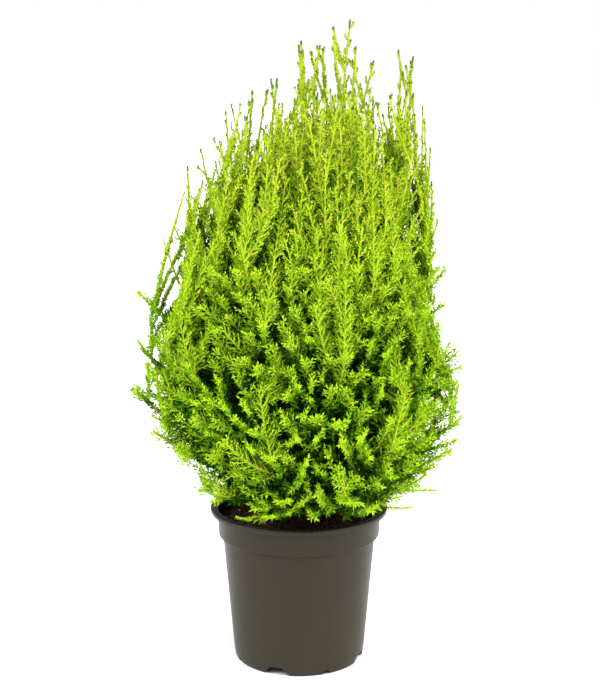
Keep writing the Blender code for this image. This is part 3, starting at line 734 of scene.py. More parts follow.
class Space:
    # the room round each limb: a point belongs to the limb whose stem is nearest
    def __init__(self, limbs):
        self.stems = [self.samples(limb, limb.leafStart, 1.0) for limb in limbs]
        wood, radii = [], []
        for limb in limbs:
            if limb.bough:
                bare = self.samples(limb, limb.start, limb.bough)
                wood.append(bare)
                radii.append(np.full(len(bare), limb.radius(limb.bough / 2)))
        heights = np.arange(trunk["foot"][2], trunk["end"], plumeRules["sampleStep"] / 2)
        self.wood = np.concatenate(wood + [trunkAxis(heights)])
        self.woodRadii = np.concatenate(radii + [trunkRadius(heights)])

    def samples(self, limb, first, last):
        count = max(2, int(limb.length(first, last) / plumeRules["sampleStep"]))
        return limb.at(first + (last - first) * np.arange(count + 1) / count)

    def clearOfWood(self, points):
        found = np.empty(len(points))
        atOnce = plumeRules["pointsAtOnce"]
        for start in range(0, len(points), atOnce):
            block = points[start:start + atOnce]
            away = np.linalg.norm(block[:, None] - self.wood[None], axis=2) - self.woodRadii
            found[start:start + atOnce] = away.min(axis=1)
        return found

    def room(self, points, own):
        # how far points lie inside the space of limb number own
        inside = np.minimum(underOutline(points), overPot(points))
        inside = np.minimum(inside, self.clearOfWood(points))
        nearest, squares = [], []
        for stem in self.stems:
            away = ((points[:, None] - stem[None]) ** 2).sum(axis=2)
            best = away.argmin(axis=1)
            nearest.append(stem[best])
            squares.append(away[np.arange(len(points)), best])
        for other in range(len(self.stems)):
            if other != own:
                apart = np.linalg.norm(nearest[other] - nearest[own], axis=1)
                apart = np.maximum(apart, limbRules["gap"])
                inside = np.minimum(inside, (squares[other] - squares[own]) / (2 * apart))
        return inside


def plumeCurve(limb, share, roll, angle, length):
    base, ahead = limb.at(share), limb.ahead(share)
    side = np.cross(ahead, (0.0, 0.0, 1.0))
    side = np.array((1.0, 0.0, 0.0)) if np.linalg.norm(side) < 0.05 else unit(side)
    across = side * math.cos(roll) + np.cross(side, ahead) * math.sin(roll)
    course = ahead * math.cos(angle) + across * math.sin(angle)
    tip = base + unit(course + (0.0, 0.0, plumeRules["rise"])) * length
    return base, base + course * length * plumeRules["bend"], tip


def plumesOf(limb, number, space):
    # at each station along the limb, the plume that fills the limb's space best
    rules = plumeRules
    rng = random.Random(f"{limbRules['seed']} plumes {limb.name}")
    taken = space.stems[number]
    found = []
    levels = np.arange(rules["levels"] + 1) / rules["levels"]
    for i in range(limb.plumes):
        along = rules["first"] + (rules["last"] - rules["first"]) * i / (limb.plumes - 1)
        here = along + rng.uniform(-rules["jitter"], rules["jitter"])
        share = limb.leafStart + (1 - limb.leafStart) * here
        length = rules["length"] * (1 - rules["shrink"] * along) * rng.uniform(*rules["sizes"])
        high = highness(limb.at(share)[2])
        upright = 1 - (1 - rules["topShare"]) * high
        length *= 1 - (1 - rules["topLength"]) * high
        first = rng.uniform(0, 360)
        tries = []
        for k in range(rules["choices"]):
            roll = math.radians(first + rules["golden"] * k)
            angle = math.radians(rng.uniform(*rules["angles"])) * upright
            tried = length
            while tried >= rules["shortest"]:
                tries.append((k, plumeCurve(limb, share, roll, angle, tried)))
                tried *= rules["shorter"]
        axes = np.array([curveAt(*curve, levels) for _, curve in tries])
        rooms = space.room(axes[:, 2:].reshape(-1, 3), number).reshape(len(tries), -1).min(axis=1)
        best, worth, done = None, -1.0, set()
        for (k, curve), axis, room in zip(tries, axes, rooms):
            if k in done or room <= rules["room"]:
                continue
            done.add(k)
            outer = axis[len(axis) // 2:]
            apart = np.linalg.norm(outer[:, None] - taken[None], axis=2).min()
            value = np.linalg.norm(axis[-1] - axis[0]) * min(apart, rules["apart"])
            if value > worth:
                best, worth, bestAxis = curve, value, axis
        if best is None:
            continue
        taken = np.concatenate([taken, bestAxis[1:]])
        found.append(best)
    return found


limbs = allLimbs()
space = Space(limbs)
plumes = [plumesOf(limb, number, space) for number, limb in enumerate(limbs)]
print("growth rule:", len(limbs), "limbs and", sum(map(len, plumes)), "plumes")


# Bark of the trunk and boughs

bark = {
    "trunkRings": 150, "trunkSides": 44, "boughRings": 26, "boughSides": 14, "sink": 0.0012,
    "ridgeDepth": 0.10, "ridgeScale": 3.2, "ridgeStretch": 34.0, "ridgeDetail": 1.6,
    "knobDepth": 0.08, "knobScale": 60.0, "rootLobes": 5, "lobeDepth": 0.16, "lobeHeight": 0.010,
    "dark": (0.050, 0.020, 0.010), "red": (0.205, 0.078, 0.034), "pale": (0.34, 0.17, 0.085),
    "streakScale": 520.0, "patchScale": 70.0, "stops": (0.34, 0.52, 0.72),
    "roughness": (0.72, 0.25), "gloss": 0.3, "bump": (0.9, 0.0006),
}


def barkTube(centres, radii, sides, seed, lobes=0.0):
    # rings of points round a line, with furrows that run along it
    ahead = unit(np.gradient(centres, axis=0))
    side = unit(np.cross(ahead[0], (0.31, -0.90, 0.27)))   # any direction that no limb has
    points = []
    travelled = 0.0
    for i in range(len(centres)):
        if i:
            travelled += float(np.linalg.norm(centres[i] - centres[i - 1]))
        side = unit(side - ahead[i] * (side @ ahead[i]))
        up = np.cross(ahead[i], side)
        rootward = lobes * math.exp(-travelled / bark["lobeHeight"])
        for k in range(sides):
            angle = 2 * math.pi * k / sides
            east, north = math.cos(angle), math.sin(angle)
            place = Vector((east * bark["ridgeScale"], north * bark["ridgeScale"],
                            travelled * bark["ridgeStretch"] + seed))
            ridge = 1.0 - 2.0 * abs(noise.noise(place * bark["ridgeDetail"]))
            knob = noise.noise(Vector((east, north, travelled * bark["knobScale"] + seed)))
            lobe = rootward * math.cos(bark["rootLobes"] * angle + seed)
            swell = 1 + bark["ridgeDepth"] * (ridge - 0.6) + bark["knobDepth"] * knob + lobe
            points.append(centres[i] + (side * east + up * north) * radii[i] * swell)
    return np.array(points), ringFaces(len(centres), sides)


def cappedPiece(name, tubes, sides, finish, nodes):
    points, faces = [], []
    for tubePoints, quads in tubes:
        start, end = len(points), len(points) + len(tubePoints)
        points += list(tubePoints)
        faces += [*(quads + start), range(start, start + sides)[::-1], range(end - sides, end)]
    standFor(finishedPiece(name, points, faces, finish), nodes)


def barkFinish():
    finish = Finish("cypressBark", {"Specular IOR Level": bark["gloss"]})
    streaks = finish.noise(finish.places((1.0, 1.0, 0.18)), bark["streakScale"], 6.0, 0.65)
    patches = finish.noise(finish.places(), bark["patchScale"], 4.0)
    colours = (bark["dark"], bark["red"], bark["pale"])
    colour = finish.ramp(streaks, list(zip(bark["stops"], colours)))
    finish.feed("Base Color", finish.blend(patches * 0.5, colour, opaque(bark["dark"])))
    least, varies = bark["roughness"]
    finish.feed("Roughness", least + streaks * varies)
    finish.bump(streaks + patches * 0.4, *bark["bump"])
    return finish


def makeWood():
    finish = barkFinish()
    foot = trunk["foot"][2]
    heights = np.linspace(foot - bark["sink"], trunk["end"], bark["trunkRings"])
    shaft = barkTube(trunkAxis(heights), trunkRadius(np.maximum(heights, foot)),
                     bark["trunkSides"], 1.7, bark["lobeDepth"])
    cappedPiece("bark_trunk", [shaft], bark["trunkSides"], finish, ["trunk"])
    tubes, nodes = [], []
    for number, limb in enumerate(limbs):
        if limb.bough:
            shares = np.linspace(limb.start, limb.bough, bark["boughRings"])
            tubes.append(barkTube(limb.at(shares), limb.radius(shares), bark["boughSides"], 3.1 * number))
            nodes.append(f"bough_{limb.name}")
    cappedPiece("bark_boughs", tubes, bark["boughSides"], finish, nodes)


makeWood()


# Foliage: the stems and plumes of the rule, shoots in the open places between them, side sprays on
# all of these, twiglets on the longer sprays, and the needles

tints = {
    # plain base colours, dealt out by spray: five greens whose darkness is painted shade, from deep in the
    # crown outwards, then lime for the outside in full light, gold, olive
    "needles": (
        (0.016, 0.060, 0.001), (0.040, 0.130, 0.002), (0.092, 0.240, 0.003), (0.180, 0.390, 0.005),
        (0.305, 0.560, 0.009), (0.450, 0.690, 0.016), (0.570, 0.660, 0.035), (0.150, 0.225, 0.020),
    ),
    # brown, green (painted shade for twigs deep in the crown), lime, yellow, pink
    "twigs": ((0.070, 0.034, 0.014), (0.070, 0.120, 0.008), (0.500, 0.640, 0.030),
              (0.640, 0.620, 0.060), (0.600, 0.360, 0.120)),
    # painted shade: a spray's place in the list by how much foliage lies over it on the way out of the crown,
    # darker the more it is covered
    "paintedShadeByCover": ((0.0, 4.5), (0.3, 3.5), (0.7, 2.1), (1.3, 0.9), (2.2, 0.0)),
    # deeper: painted shade, darker greens still for sprays deep in the crown
    "deeper": 1.5,                   # places back in the list, deep in the crown
    # painted light by height: sprays move up the list to lighter greens, most in the upper crown and a little
    # at the foot
    "paintedLightByHeight": ((0.17, 0.45), (0.25, 0.50), (0.33, 0.00), (0.42, 1.40), (0.50, 2.60)),
    "spread": 0.45, "oddNeedles": 0.14,
    "gold": 0.75, "goldFrom": (0.33, 0.50),
    # olive clubs: from which share of a spray, how deep in the crown, and how many low and high up
    "clubFrom": 0.70, "clubDepth": 0.030, "clubs": (0.25, 0.55), "capFrom": 0.95, "capHigh": 0.3,
    "yellowTwigs": (0.15, 0.45), "pinkTwigs": (0.008, 0.03), "paintedShadeTwigDepth": 0.034,
    "brownDepth": 0.06, "brownFootDepth": 0.03, "footShare": 0.2,
    # the size and number of the cells that count as lying over a spray, and how many cells off they start
    "cell": 0.005, "steps": 6, "firstStep": 1.6,
    # the depth that paints shade counts for less at the top, so the upper crown is painted lighter; the same
    # depth sets where needles grow larger and fewer
    "topShade": (0.75, 0.30, 0.50),  # how much less the depth darkens the top, and from where to where
    "roughness": 0.6, "gloss": 0.05,
}

# where these stand in the list of the needles' colours
limeTint, goldTint, oliveTint = 5, 6, 7

# a value with four numbers holds at these heights, and is blended between them
zones = (0.17, 0.38, 0.50, 0.57)

mainRules = {
    # thickness at the end and the bare share of a stem; a plume's thickness at both ends and bare share
    "stem": (0.00045, 0.08), "plume": (0.00105, 0.00038, 0.06),
}

shootRules = {
    # X and height of the shoots that make the crown's edge as seen from the front
    "edgeTips": (
        (0.052, 0.581), (0.022, 0.582), (0.002, 0.585), (0.105, 0.572), (0.098, 0.564), (0.016, 0.570),
        (0.009, 0.554), (-0.020, 0.551), (-0.029, 0.544), (-0.068, 0.526), (-0.047, 0.505), (0.031, 0.541),
        (0.068, 0.523), (0.077, 0.520), (0.084, 0.532), (0.097, 0.537), (0.116, 0.532), (0.116, 0.517),
        (0.120, 0.488), (-0.093, 0.493), (-0.102, 0.471), (-0.108, 0.450), (-0.118, 0.417),
        (-0.149, 0.355), (-0.137, 0.340), (-0.150, 0.301), (-0.141, 0.312), (-0.164, 0.258),
        (-0.156, 0.264), (-0.143, 0.234), (-0.134, 0.223), (-0.118, 0.204), (-0.117, 0.190),
        (-0.089, 0.173), (0.124, 0.459), (0.133, 0.426), (0.130, 0.378), (0.140, 0.345), (0.152, 0.298),
        (0.153, 0.285), (0.145, 0.266), (0.147, 0.252), (0.155, 0.240), (0.156, 0.228), (0.149, 0.213),
        (0.150, 0.199), (0.129, 0.185), (0.112, 0.168),
    ),
    # how far they stand before or behind the middle, by how many radians this turns from tip to tip, and
    # at what X it grows to the full depth from what share over the trunk
    "edgeDepth": 0.030, "edgeTurn": 2.4, "edgeWide": 0.08, "edgeLeast": 0.2,
    "needleReach": 0.003,            # the needles reach this far past a tip, away from the crown's heart
    "heart": 0.30,
    "edge": {"lengths": (0.050, 0.150), "wanted": 0.095, "turns": (4.0, 85.0), "slopeStep": 10.0,
             "mostCost": 60.0},
    "seed": 23, "tries": 9000, "apart": (0.0165, 0.0150, 0.0145, 0.0160),
    "tall": ((0.13, 0.0), (0.35, 0.165), (0.60, 0.278)),  # heights as they count between tips
    "heights": (0.165, 0.558), "outerDepth": (0.010, 0.036), "innerDepth": (0.034, 0.055),
    "furthest": 0.146,               # no shoot ends further to the front or back
    "innerShare": 0.20, "narrowest": 0.004,
    "overPot": 0.022, "potReach": 0.095,   # clearance over the pot, and how far out it is kept
    # lone tips near the outline, before and behind the middle
    "loneDepth": (0.002, 0.012), "loneShare": 0.10, "loneWidth": 0.55,
    # height, and how far the full mass of the crown reaches to the left and right; lone tips go further
    "massEdge": ((0.162, -0.070, 0.092), (0.198, -0.092, 0.124), (0.235, -0.131, 0.134),
                 (0.272, -0.127, 0.138), (0.310, -0.130, 0.136), (0.345, -0.108, 0.128),
                 (0.383, -0.113, 0.120), (0.420, -0.109, 0.121), (0.458, -0.099, 0.124),
                 (0.495, -0.072, 0.110), (0.530, -0.045, 0.100), (0.560, -0.020, 0.085)),
    # across, and how high the full mass reaches there
    "massTop": ((-0.096, 0.452), (-0.084, 0.458), (-0.071, 0.500), (-0.050, 0.498), (-0.034, 0.498),
                (-0.022, 0.524), (-0.004, 0.534), (0.008, 0.526), (0.021, 0.534), (0.033, 0.532),
                (0.045, 0.540), (0.058, 0.524), (0.070, 0.506), (0.082, 0.514), (0.095, 0.538),
                (0.104, 0.520), (0.114, 0.480), (0.122, 0.452)),
    "lookDown": 0.185,               # a place further back looks this much higher for each metre
    "lengths": (0.045, 0.135), "wanted": 0.088, "turns": (12.0, 60.0), "slopeStep": 20.0,
    # where on its parent a shoot may start, and what makes a start worse: an odd turn, a course that
    # doesn't point away from the trunk, and other shoots close by
    "from": 0.08, "span": 0.84, "mostCost": 2.8, "turnCosts": (10.0, 12.0),
    "aside": (1.2, 2.0, 2.0, 2.0), "crowded": 0.3, "crowdedWithin": 0.007,
    # how steeply a shoot rises by the height of its tip, in degrees
    "rise": ((0.15, 12.0), (0.25, 27.0), (0.30, 37.0), (0.36, 48.0), (0.42, 66.0), (0.49, 77.0),
             (0.56, 84.0)),
    "shape": (0.00085, 0.00036, 0.06), "headShare": 0.25,
}

fillRules = {
    # shoots that reach into places under the outline that no twig is near
    "rounds": 7, "tries": 8000, "depths": (0.010, 0.146), "apart": (0.0112, 0.0108, 0.0106, 0.0115),
    "deeper": 3.0, "beyond": 0.007, "fromSides": (0.024, 0.014, 0.0, 0.0), "sampleStep": 0.004,
    "wanted": 0.062, "lengths": (0.024, 0.120), "turns": (12.0, 80.0), "slopeStep": 24.0, "mostCost": 8.0,
    "inside": 0.001,                 # places closer than this to the outline are left out
}

sideRules = {
    # what sprays and twiglets share
    "stationJitter": (0.3, 0.7), "taperPower": 1.2, "sizes": (0.78, 1.18), "bare": 0.05,
    "pastOutline": 0.0035, "pastParent": 0.006, "pastFurthest": 0.003, "clearOfWood": 0.0006,
}

sprayRules = {
    # side sprays; at each station a pair, and a third one that is turned out or in
    "spacing": (0.0068, 0.0064, 0.0064, 0.0078), "lengths": (0.0172, 0.0148, 0.0120, 0.0110),
    "angles": (48.0, 42.0, 37.0, 36.0), "angleJitter": 7.0, "taper": 0.50,
    # near the end of a top shoot the sprays stand alone and keep their length
    "aloneFrom": (0.60, 0.40), "topTaper": 0.35, "overPot": 0.019, "mostOfParent": 0.40,
    "outside": 0.75,                 # sprays that leave the full mass are shorter
    "curl": 0.30, "lift": 0.10, "last": 0.97, "frontShare": 0.60, "backChance": 0.45, "everyFront": 2,
    "rollJitter": 20.0, "shortest": 0.0026, "thick": 0.00068, "thin": 0.00050,
}

twigletRules = {
    "spacing": (0.0062, 0.0060, 0.0060, 0.0062), "lengths": (0.0054, 0.0050, 0.0046, 0.0038),
    "angles": (44.0, 40.0, 36.0, 34.0), "angleJitter": 8.0, "taper": 0.45, "mostOfParent": 0.42,
    "aloneFrom": (2.0, 2.0), "topTaper": 0.45, "overPot": 0.013, "outside": 0.70,
    "curl": 0.25, "lift": 0.08, "last": 0.84, "frontShare": 0.8, "backChance": 0.4, "everyFront": 5,
    "rollJitter": 30.0, "shortest": 0.0022, "thick": 0.00046, "thin": 0.00032,
    "parentFrom": (0.0170, 0.0135, 0.0095, 0.0200), "deepest": 0.6,
}

needleRules = {
    "spacing": (0.00270, 0.00235, 0.00180, 0.00110), "lengths": (0.0050, 0.0043, 0.0034, 0.0037),
    "angles": (62.0, 57.0, 46.0, 33.0), "widths": (0.00150, 0.00146, 0.00150, 0.00205),
    "onStems": 0.80,                 # they stand closer together on stems, plumes and shoots
    # twigs that leave the full mass are cords of needles that lie close
    "cordSpacing": 0.80, "cordAngle": (1.0, 0.85, 0.80, 1.0), "cordWidth": 1.2,
    "angleJitter": 9.0, "sizes": (0.82, 1.18), "fold": 0.22, "widest": 0.38, "curve": 0.30,
    "tipDraw": 0.40, "tipShorter": 0.22,
    "turn": 45.0, "turnJitter": 20.0, "rollJitter": 12.0, "last": 0.995,
    "firstNode": 0.75, "stationJitter": (-0.25, 0.20),   # as shares of the spacing
    # deep in the crown the needles are larger and fewer
    "deepFrom": 0.022, "deepAt": 0.055, "deepSize": 2.8, "keptDeep": 0.40,
}

twigShapes = {
    # rings and sides of the twigs' meshes
    "stems": (8, 5), "shoots": (5, 4), "longSprays": (2, 3), "others": (1, 3), "longFrom": 0.0105,
    "mostTriangles": 190000,         # in one piece
}


def byHeight(values, height):
    return np.interp(height, zones, values)


def shadedDepth(places):
    less, lowest, highest = tints["topShade"]
    return underOutline(places) * (1 - less * np.interp(places[:, 2], (lowest, highest), (0.0, 1.0)))


def deepness(places):
    # 0 near the crown's outline and 1 deep inside
    span = needleRules["deepAt"] - needleRules["deepFrom"]
    return np.clip((shadedDepth(places) - needleRules["deepFrom"]) / span, 0.0, 1.0)


class Twigs:
    # many twigs as arrays: each is a curve from its base over a bend to its tip. first is the share of
    # it that is bare, mass the number of its limb, and order is 0 for stems, 1 for plumes and shoots,
    # 2 for sprays and 3 for twiglets
    def __init__(self, *values):
        self.values = values
        self.base, self.bend, self.tip, self.thick, self.thin, self.first, self.mass, self.order = values

    def keep(self, chosen):
        return Twigs(*(value[chosen] for value in self.values))

    def at(self, which, share):
        return curveAt(self.base[which], self.bend[which], self.tip[which], share)

    def ahead(self, which, share):
        share = share[..., None]
        return unit((self.bend[which] - self.base[which]) * (1 - share)
                    + (self.tip[which] - self.bend[which]) * share)

    def lengths(self):
        chord = np.linalg.norm(self.tip - self.base, axis=1)
        sides = np.linalg.norm(self.bend - self.base, axis=1) + np.linalg.norm(self.tip - self.bend, axis=1)
        return (2 * chord + sides) / 3


def joined(groups):
    return Twigs(*map(np.concatenate, zip(*(group.values for group in groups))))


def twigsFrom(rows, order):
    return Twigs(*map(np.array, zip(*rows)), np.full(len(rows), order))


def outAndUp(places):
    # out of the crown and up to the light; from the trunk itself this is to the front
    out = places - trunkAxis(places[..., 2])
    out[..., 2] = 0.0
    return unit(out + (0.0, -0.004, 0.0)) + (0.0, 0.0, 0.6)


def facing(places, ahead):
    # the side of a twig that is turned out and up, and the side at right angles to it
    out = outAndUp(places)
    out = unit(out - ahead * (out * ahead).sum(axis=-1, keepdims=True))
    return out, np.cross(ahead, out)


def spread(parents, spacing):
    # stations along each parent: (parent, station, stations on it)
    usable = parents.lengths() * (1 - parents.first)
    stations = np.maximum(np.round(usable / spacing), 1).astype(int)
    which = np.repeat(np.arange(len(stations)), stations)
    station = np.arange(len(which)) - np.repeat(np.cumsum(stations) - stations, stations)
    return which, station, stations[which]


def growMain():
    # the stems and plumes that the solids have
    stems, sides = [], []
    for number, limb in enumerate(limbs):
        first = limb.leafStart
        if limb.bough:
            first += limbRules["gap"] / limb.length(0.0, 1.0)
        bend = limb.bend + (limb.tip - limb.bend) * first
        stems.append((limb.at(first), bend, limb.tip, limb.radius(first), *mainRules["stem"], number))
        sides += [(*plume, *mainRules["plume"], number) for plume in plumes[number]]
    return joined([twigsFrom(stems, 0), twigsFrom(sides, 1)])


def edgeTips():
    # the edge's tips lie before or behind the middle in turn, and those over the trunk close to it
    tips = []
    for number, (x, z) in enumerate(shootRules["edgeTips"]):
        share = min(1.0, abs(x) / shootRules["edgeWide"] + shootRules["edgeLeast"])
        aside = shootRules["edgeDepth"] * math.sin(shootRules["edgeTurn"] * number) * share
        away = shootRules["needleReach"] / math.hypot(x, z - shootRules["heart"])
        level = z - (z - shootRules["heart"]) * away - aside * shootRules["lookDown"]
        tips.append((x * (1 - away), aside, level))
    return np.array(tips)


def inMass(places):
    # inside the full mass of the crown as the camera sees it
    heights, left, right = np.array(shootRules["massEdge"]).T
    across, tops = np.array(shootRules["massTop"]).T
    x, level = places[..., 0], places[..., 2] + places[..., 1] * shootRules["lookDown"]
    between = (x > np.interp(level, heights, left)) & (x < np.interp(level, heights, right))
    return between & (level < np.interp(x, across, tops))


def asCounted(places):
    # between tips, heights count for less than distances across
    heights, counted = zip(*shootRules["tall"])
    return np.concatenate([places[..., :2], np.interp(places[..., 2:], heights, counted)], axis=-1)


def placeUnder(level, angle, depth, rng):
    # the place at a depth under the outline, or None, more often where the crown is narrow
    middle, reach = crownAt(level)
    out = reach - depth
    if out < shootRules["narrowest"] or rng.uniform() > out / crown[:, 2].max():
        return None
    return np.array((middle + out * math.sin(angle), -out * math.cos(angle), level))


def openTips(taken, rng):
    # tips for shoots: places under the outline that no tip is near
    rules = shootRules
    tips = []
    taken = asCounted(taken)
    for _ in range(rules["tries"]):
        level = rng.uniform(*rules["heights"])
        angle = rng.uniform(0.0, 2 * math.pi)
        draw = rng.uniform()
        kind = "innerDepth" if draw < rules["innerShare"] else "outerDepth"
        if draw > 1 - rules["loneShare"] and abs(math.sin(angle)) < rules["loneWidth"]:
            kind = "loneDepth"
        tip = placeUnder(level, angle, rng.uniform(*rules[kind]), rng)
        if tip is None or not inMass(tip) or abs(tip[1]) > rules["furthest"]:
            continue
        if math.hypot(tip[0], tip[1]) < rules["potReach"] and level < plumeRules["potTop"] + rules["overPot"]:
            continue
        if np.linalg.norm(taken - asCounted(tip), axis=1).min() < byHeight(rules["apart"], level):
            continue
        taken = np.concatenate([taken, asCounted(tip)[None]])
        tips.append(tip)
    return np.array(tips)


def openPlaces(twigs, rng):
    # places under the outline that are far from every stem, plume and shoot
    rules = fillRules
    which, station, stations = spread(twigs, rules["sampleStep"])
    taken = twigs.at(which, (station + 0.5) / stations)
    tree = kdtree.KDTree(len(taken))
    for number, place in enumerate(taken):
        tree.insert(place, number)
    tree.balance()
    found = np.empty((0, 3))
    for _ in range(rules["tries"]):
        level = rng.uniform(*shootRules["heights"])
        depth = rng.uniform(*rules["depths"])
        place = placeUnder(level, rng.uniform(0.0, 2 * math.pi), depth, rng)
        if place is None:
            continue
        apart = byHeight(rules["apart"], level) * (1 + rules["deeper"] * depth)
        nearest = np.linalg.norm(found - place, axis=1).min(initial=tree.find(place)[2])
        if nearest >= apart:
            found = np.concatenate([found, place[None]])
    found[:, 2] += rules["beyond"]
    further = found.copy()
    further[:, 0] += np.sign(found[:, 0]) * byHeight(rules["fromSides"], found[:, 2])
    free = (underOutline(found) > rules["inside"]) & (overPot(found) > shootRules["overPot"] / 2)
    return found[free & inMass(further) & (abs(found[:, 1]) < shootRules["furthest"])]


def growShoots(parents, tips, rules):
    # each tip gets the shoot that costs least of those that could reach it
    which, station, stations = spread(parents, plumeRules["sampleStep"])
    share = shootRules["from"] + shootRules["span"] * station / stations
    bases, heads = parents.at(which, share), parents.ahead(which, share)
    heights, rises = zip(*shootRules["rise"])
    (leastTurn, mostTurn), (under, over) = rules["turns"], shootRules["turnCosts"]
    used = np.zeros(len(bases))
    rows = []
    for tip in tips:
        away = tip - bases
        length = np.linalg.norm(away, axis=1)
        course = away / length[:, None]
        turn = np.degrees(np.arccos(np.clip((course * heads).sum(axis=1), -1.0, 1.0)))
        slope = np.degrees(np.arcsin(course[:, 2]))
        cost = abs(length - rules["wanted"]) / rules["wanted"]
        cost = cost + abs(slope - np.interp(tip[2], heights, rises)) / rules["slopeStep"]
        cost += np.maximum(0.0, leastTurn - turn) / under + np.maximum(0.0, turn - mostTurn) / over
        outward = unit((tip - trunkAxis(tip[2]))[:2])
        skew = abs(course[:, 0] * outward[1] - course[:, 1] * outward[0])
        cost += skew * byHeight(shootRules["aside"], tip[2])
        cost += shootRules["crowded"] * used
        cost[(length < rules["lengths"][0]) | (length > rules["lengths"][1])] = np.inf
        best = cost.argmin()
        if cost[best] > rules["mostCost"]:
            continue
        used += np.linalg.norm(bases - bases[best], axis=1) < shootRules["crowdedWithin"]
        bend = bases[best] + unit(heads[best] * shootRules["headShare"] + course[best]) * length[best] * 0.5
        rows.append((bases[best], bend, tip, *shootRules["shape"], parents.mass[which[best]]))
    return twigsFrom(rows, 1)


def sideTwigs(parents, rules, rng, order):
    # three at each station of a parent: a pair, and a front or back one that isn't kept everywhere
    which, station, stations = spread(parents, byHeight(rules["spacing"], parents.tip[:, 2]))
    which, station, stations = (np.repeat(values, 3) for values in (which, station, stations))
    partner = np.arange(len(which)) % 3
    count = len(which)
    first = parents.first[which]
    jitter = rng.uniform(*sideRules["stationJitter"], count)
    share = first + (rules["last"] - first) * (station + jitter) / stations
    places, ahead = parents.at(which, share), parents.ahead(which, share)
    out, side = facing(places, ahead)
    back = rng.uniform(0, 1, count) < rules["backChance"]
    roll = np.select([partner == 0, partner == 1, back], [0.0, 180.0, 270.0], 90.0)
    roll = np.radians(roll + rng.uniform(-1, 1, count) * rules["rollJitter"])[:, None]
    # how long they are, by their place on the parent
    within = (share - first) / (1 - first)
    high = highness(places[:, 2])
    taper = rules["taper"] + (rules["topTaper"] - rules["taper"]) * high
    length = byHeight(rules["lengths"], places[:, 2]) * (1 - taper * within ** sideRules["taperPower"])
    length *= rng.uniform(*sideRules["sizes"], count)
    length = np.where(partner == 2, length * rules["frontShare"], length)
    length = np.minimum(length, parents.lengths()[which] * rules["mostOfParent"])
    angle = byHeight(rules["angles"], places[:, 2]) + rng.uniform(-1, 1, count) * rules["angleJitter"]
    angle = np.radians(angle)[:, None]
    across = side * np.cos(roll) + out * np.sin(roll)
    course = ahead * np.cos(angle) + across * np.sin(angle)
    length = np.where(inMass(places + course * length[:, None]), length, length * rules["outside"])
    lengths = length[:, None]
    tip = places + unit(course + ahead * rules["curl"] + np.array((0.0, 0.0, rules["lift"]))) * lengths
    shape = (np.full(count, value) for value in (rules["thick"], rules["thin"], sideRules["bare"]))
    made = Twigs(places, places + course * lengths * 0.5, tip, *shape,
                 parents.mass[which], np.full(count, order))
    # which of them are kept
    kept = (partner < 2) | (station % rules["everyFront"] == 0)
    lowest, highest = rules["aloneFrom"]
    alone = (within > lowest + (highest - lowest) * high) & (parents.tip[which, 2] > plumeRules["highFrom"])
    kept &= ~alone | (partner == station % 2)
    past = np.minimum(-sideRules["pastOutline"], underOutline(parents.tip)[which] - sideRules["pastParent"])
    kept &= underOutline(tip) > past
    kept &= overPot(tip) > rules["overPot"]
    kept &= abs(tip[:, 1]) < shootRules["furthest"] + sideRules["pastFurthest"]
    kept &= length > rules["shortest"]
    kept &= rng.uniform(0, 1, count) > deepness(places) * (1 - needleRules["keptDeep"])
    made = made.keep(kept)
    return made.keep(space.clearOfWood(made.tip) > sideRules["clearOfWood"])


def foliageGrid(twigs):
    # metres of twig in each small cell of the crown, smoothed once along each axis
    middles = (twigs.base + twigs.tip) / 2
    lowest = middles.min(axis=0) - tints["cell"] * 2
    cells = ((middles - lowest) / tints["cell"]).astype(int)
    grid = np.zeros(cells.max(axis=0) + 3)
    np.add.at(grid, tuple(cells.T), twigs.lengths())
    for axis in range(3):
        grid = (np.roll(grid, 1, axis) + grid * 2 + np.roll(grid, -1, axis)) / 4
    return grid, lowest


def coverOver(spots, grid, lowest):
    # the foliage between a place and the open air, outwards and a little up, which sets how much shade is
    # painted on a spray
    out = unit(outAndUp(spots))
    cover = np.zeros(len(spots))
    for step in range(tints["steps"]):
        look = spots + out * (tints["cell"] * (tints["firstStep"] + step))
        cells = np.clip(((look - lowest) / tints["cell"]).astype(int), 0, np.array(grid.shape) - 1)
        cover += grid[tuple(cells.T)]
    return cover


def sprayTints(spots, cover, drift):
    # places in the list from the darkest green to lime, as painted shade and light: covered and deep sprays
    # are painted dark, outer and higher ones light
    light = np.interp(cover / np.median(cover), *zip(*tints["paintedShadeByCover"])) - tints["deeper"] * deepness(spots)
    light += np.interp(spots[:, 2], *zip(*tints["paintedLightByHeight"]))
    return np.clip(np.round(light + drift), 0, limeTint).astype(int)


def needleShapes(places, ahead, share, roll, inside, rng):
    # a needle has four points: foot, one side of the belly, tip and the other side
    rules = needleRules
    height, count = places[:, 2], len(places)
    cord = ~inMass(places)
    larger = 1 + (rules["deepSize"] - 1) * inside
    out, side = facing(places, ahead)
    radial = side * np.cos(roll) + out * np.sin(roll)
    length = byHeight(rules["lengths"], height) * rng.uniform(*rules["sizes"], count) * larger
    length *= 1 - rules["tipShorter"] * share ** 3
    angle = byHeight(rules["angles"], height) * (1 - rules["tipDraw"] * share ** 3)
    angle *= np.where(cord, byHeight(rules["cordAngle"], height), 1.0)
    angle += rng.uniform(-1, 1, count) * rules["angleJitter"]
    angle = np.radians(angle)[:, None]
    course = ahead * np.cos(angle) + radial * np.sin(angle)
    across = unit(np.cross(course, radial + ahead * 0.01))
    hollow = np.cross(across, course)
    width = byHeight(rules["widths"], height) * larger
    width = (width * np.where(cord, rules["cordWidth"], 1.0))[:, None]
    reach = length[:, None]
    belly = places + course * reach * rules["widest"] - hollow * width * rules["fold"]
    tip = places + unit(course + ahead * rules["curve"]) * reach
    return np.stack([places, belly + across * width / 2, tip, belly - across * width / 2], axis=1)


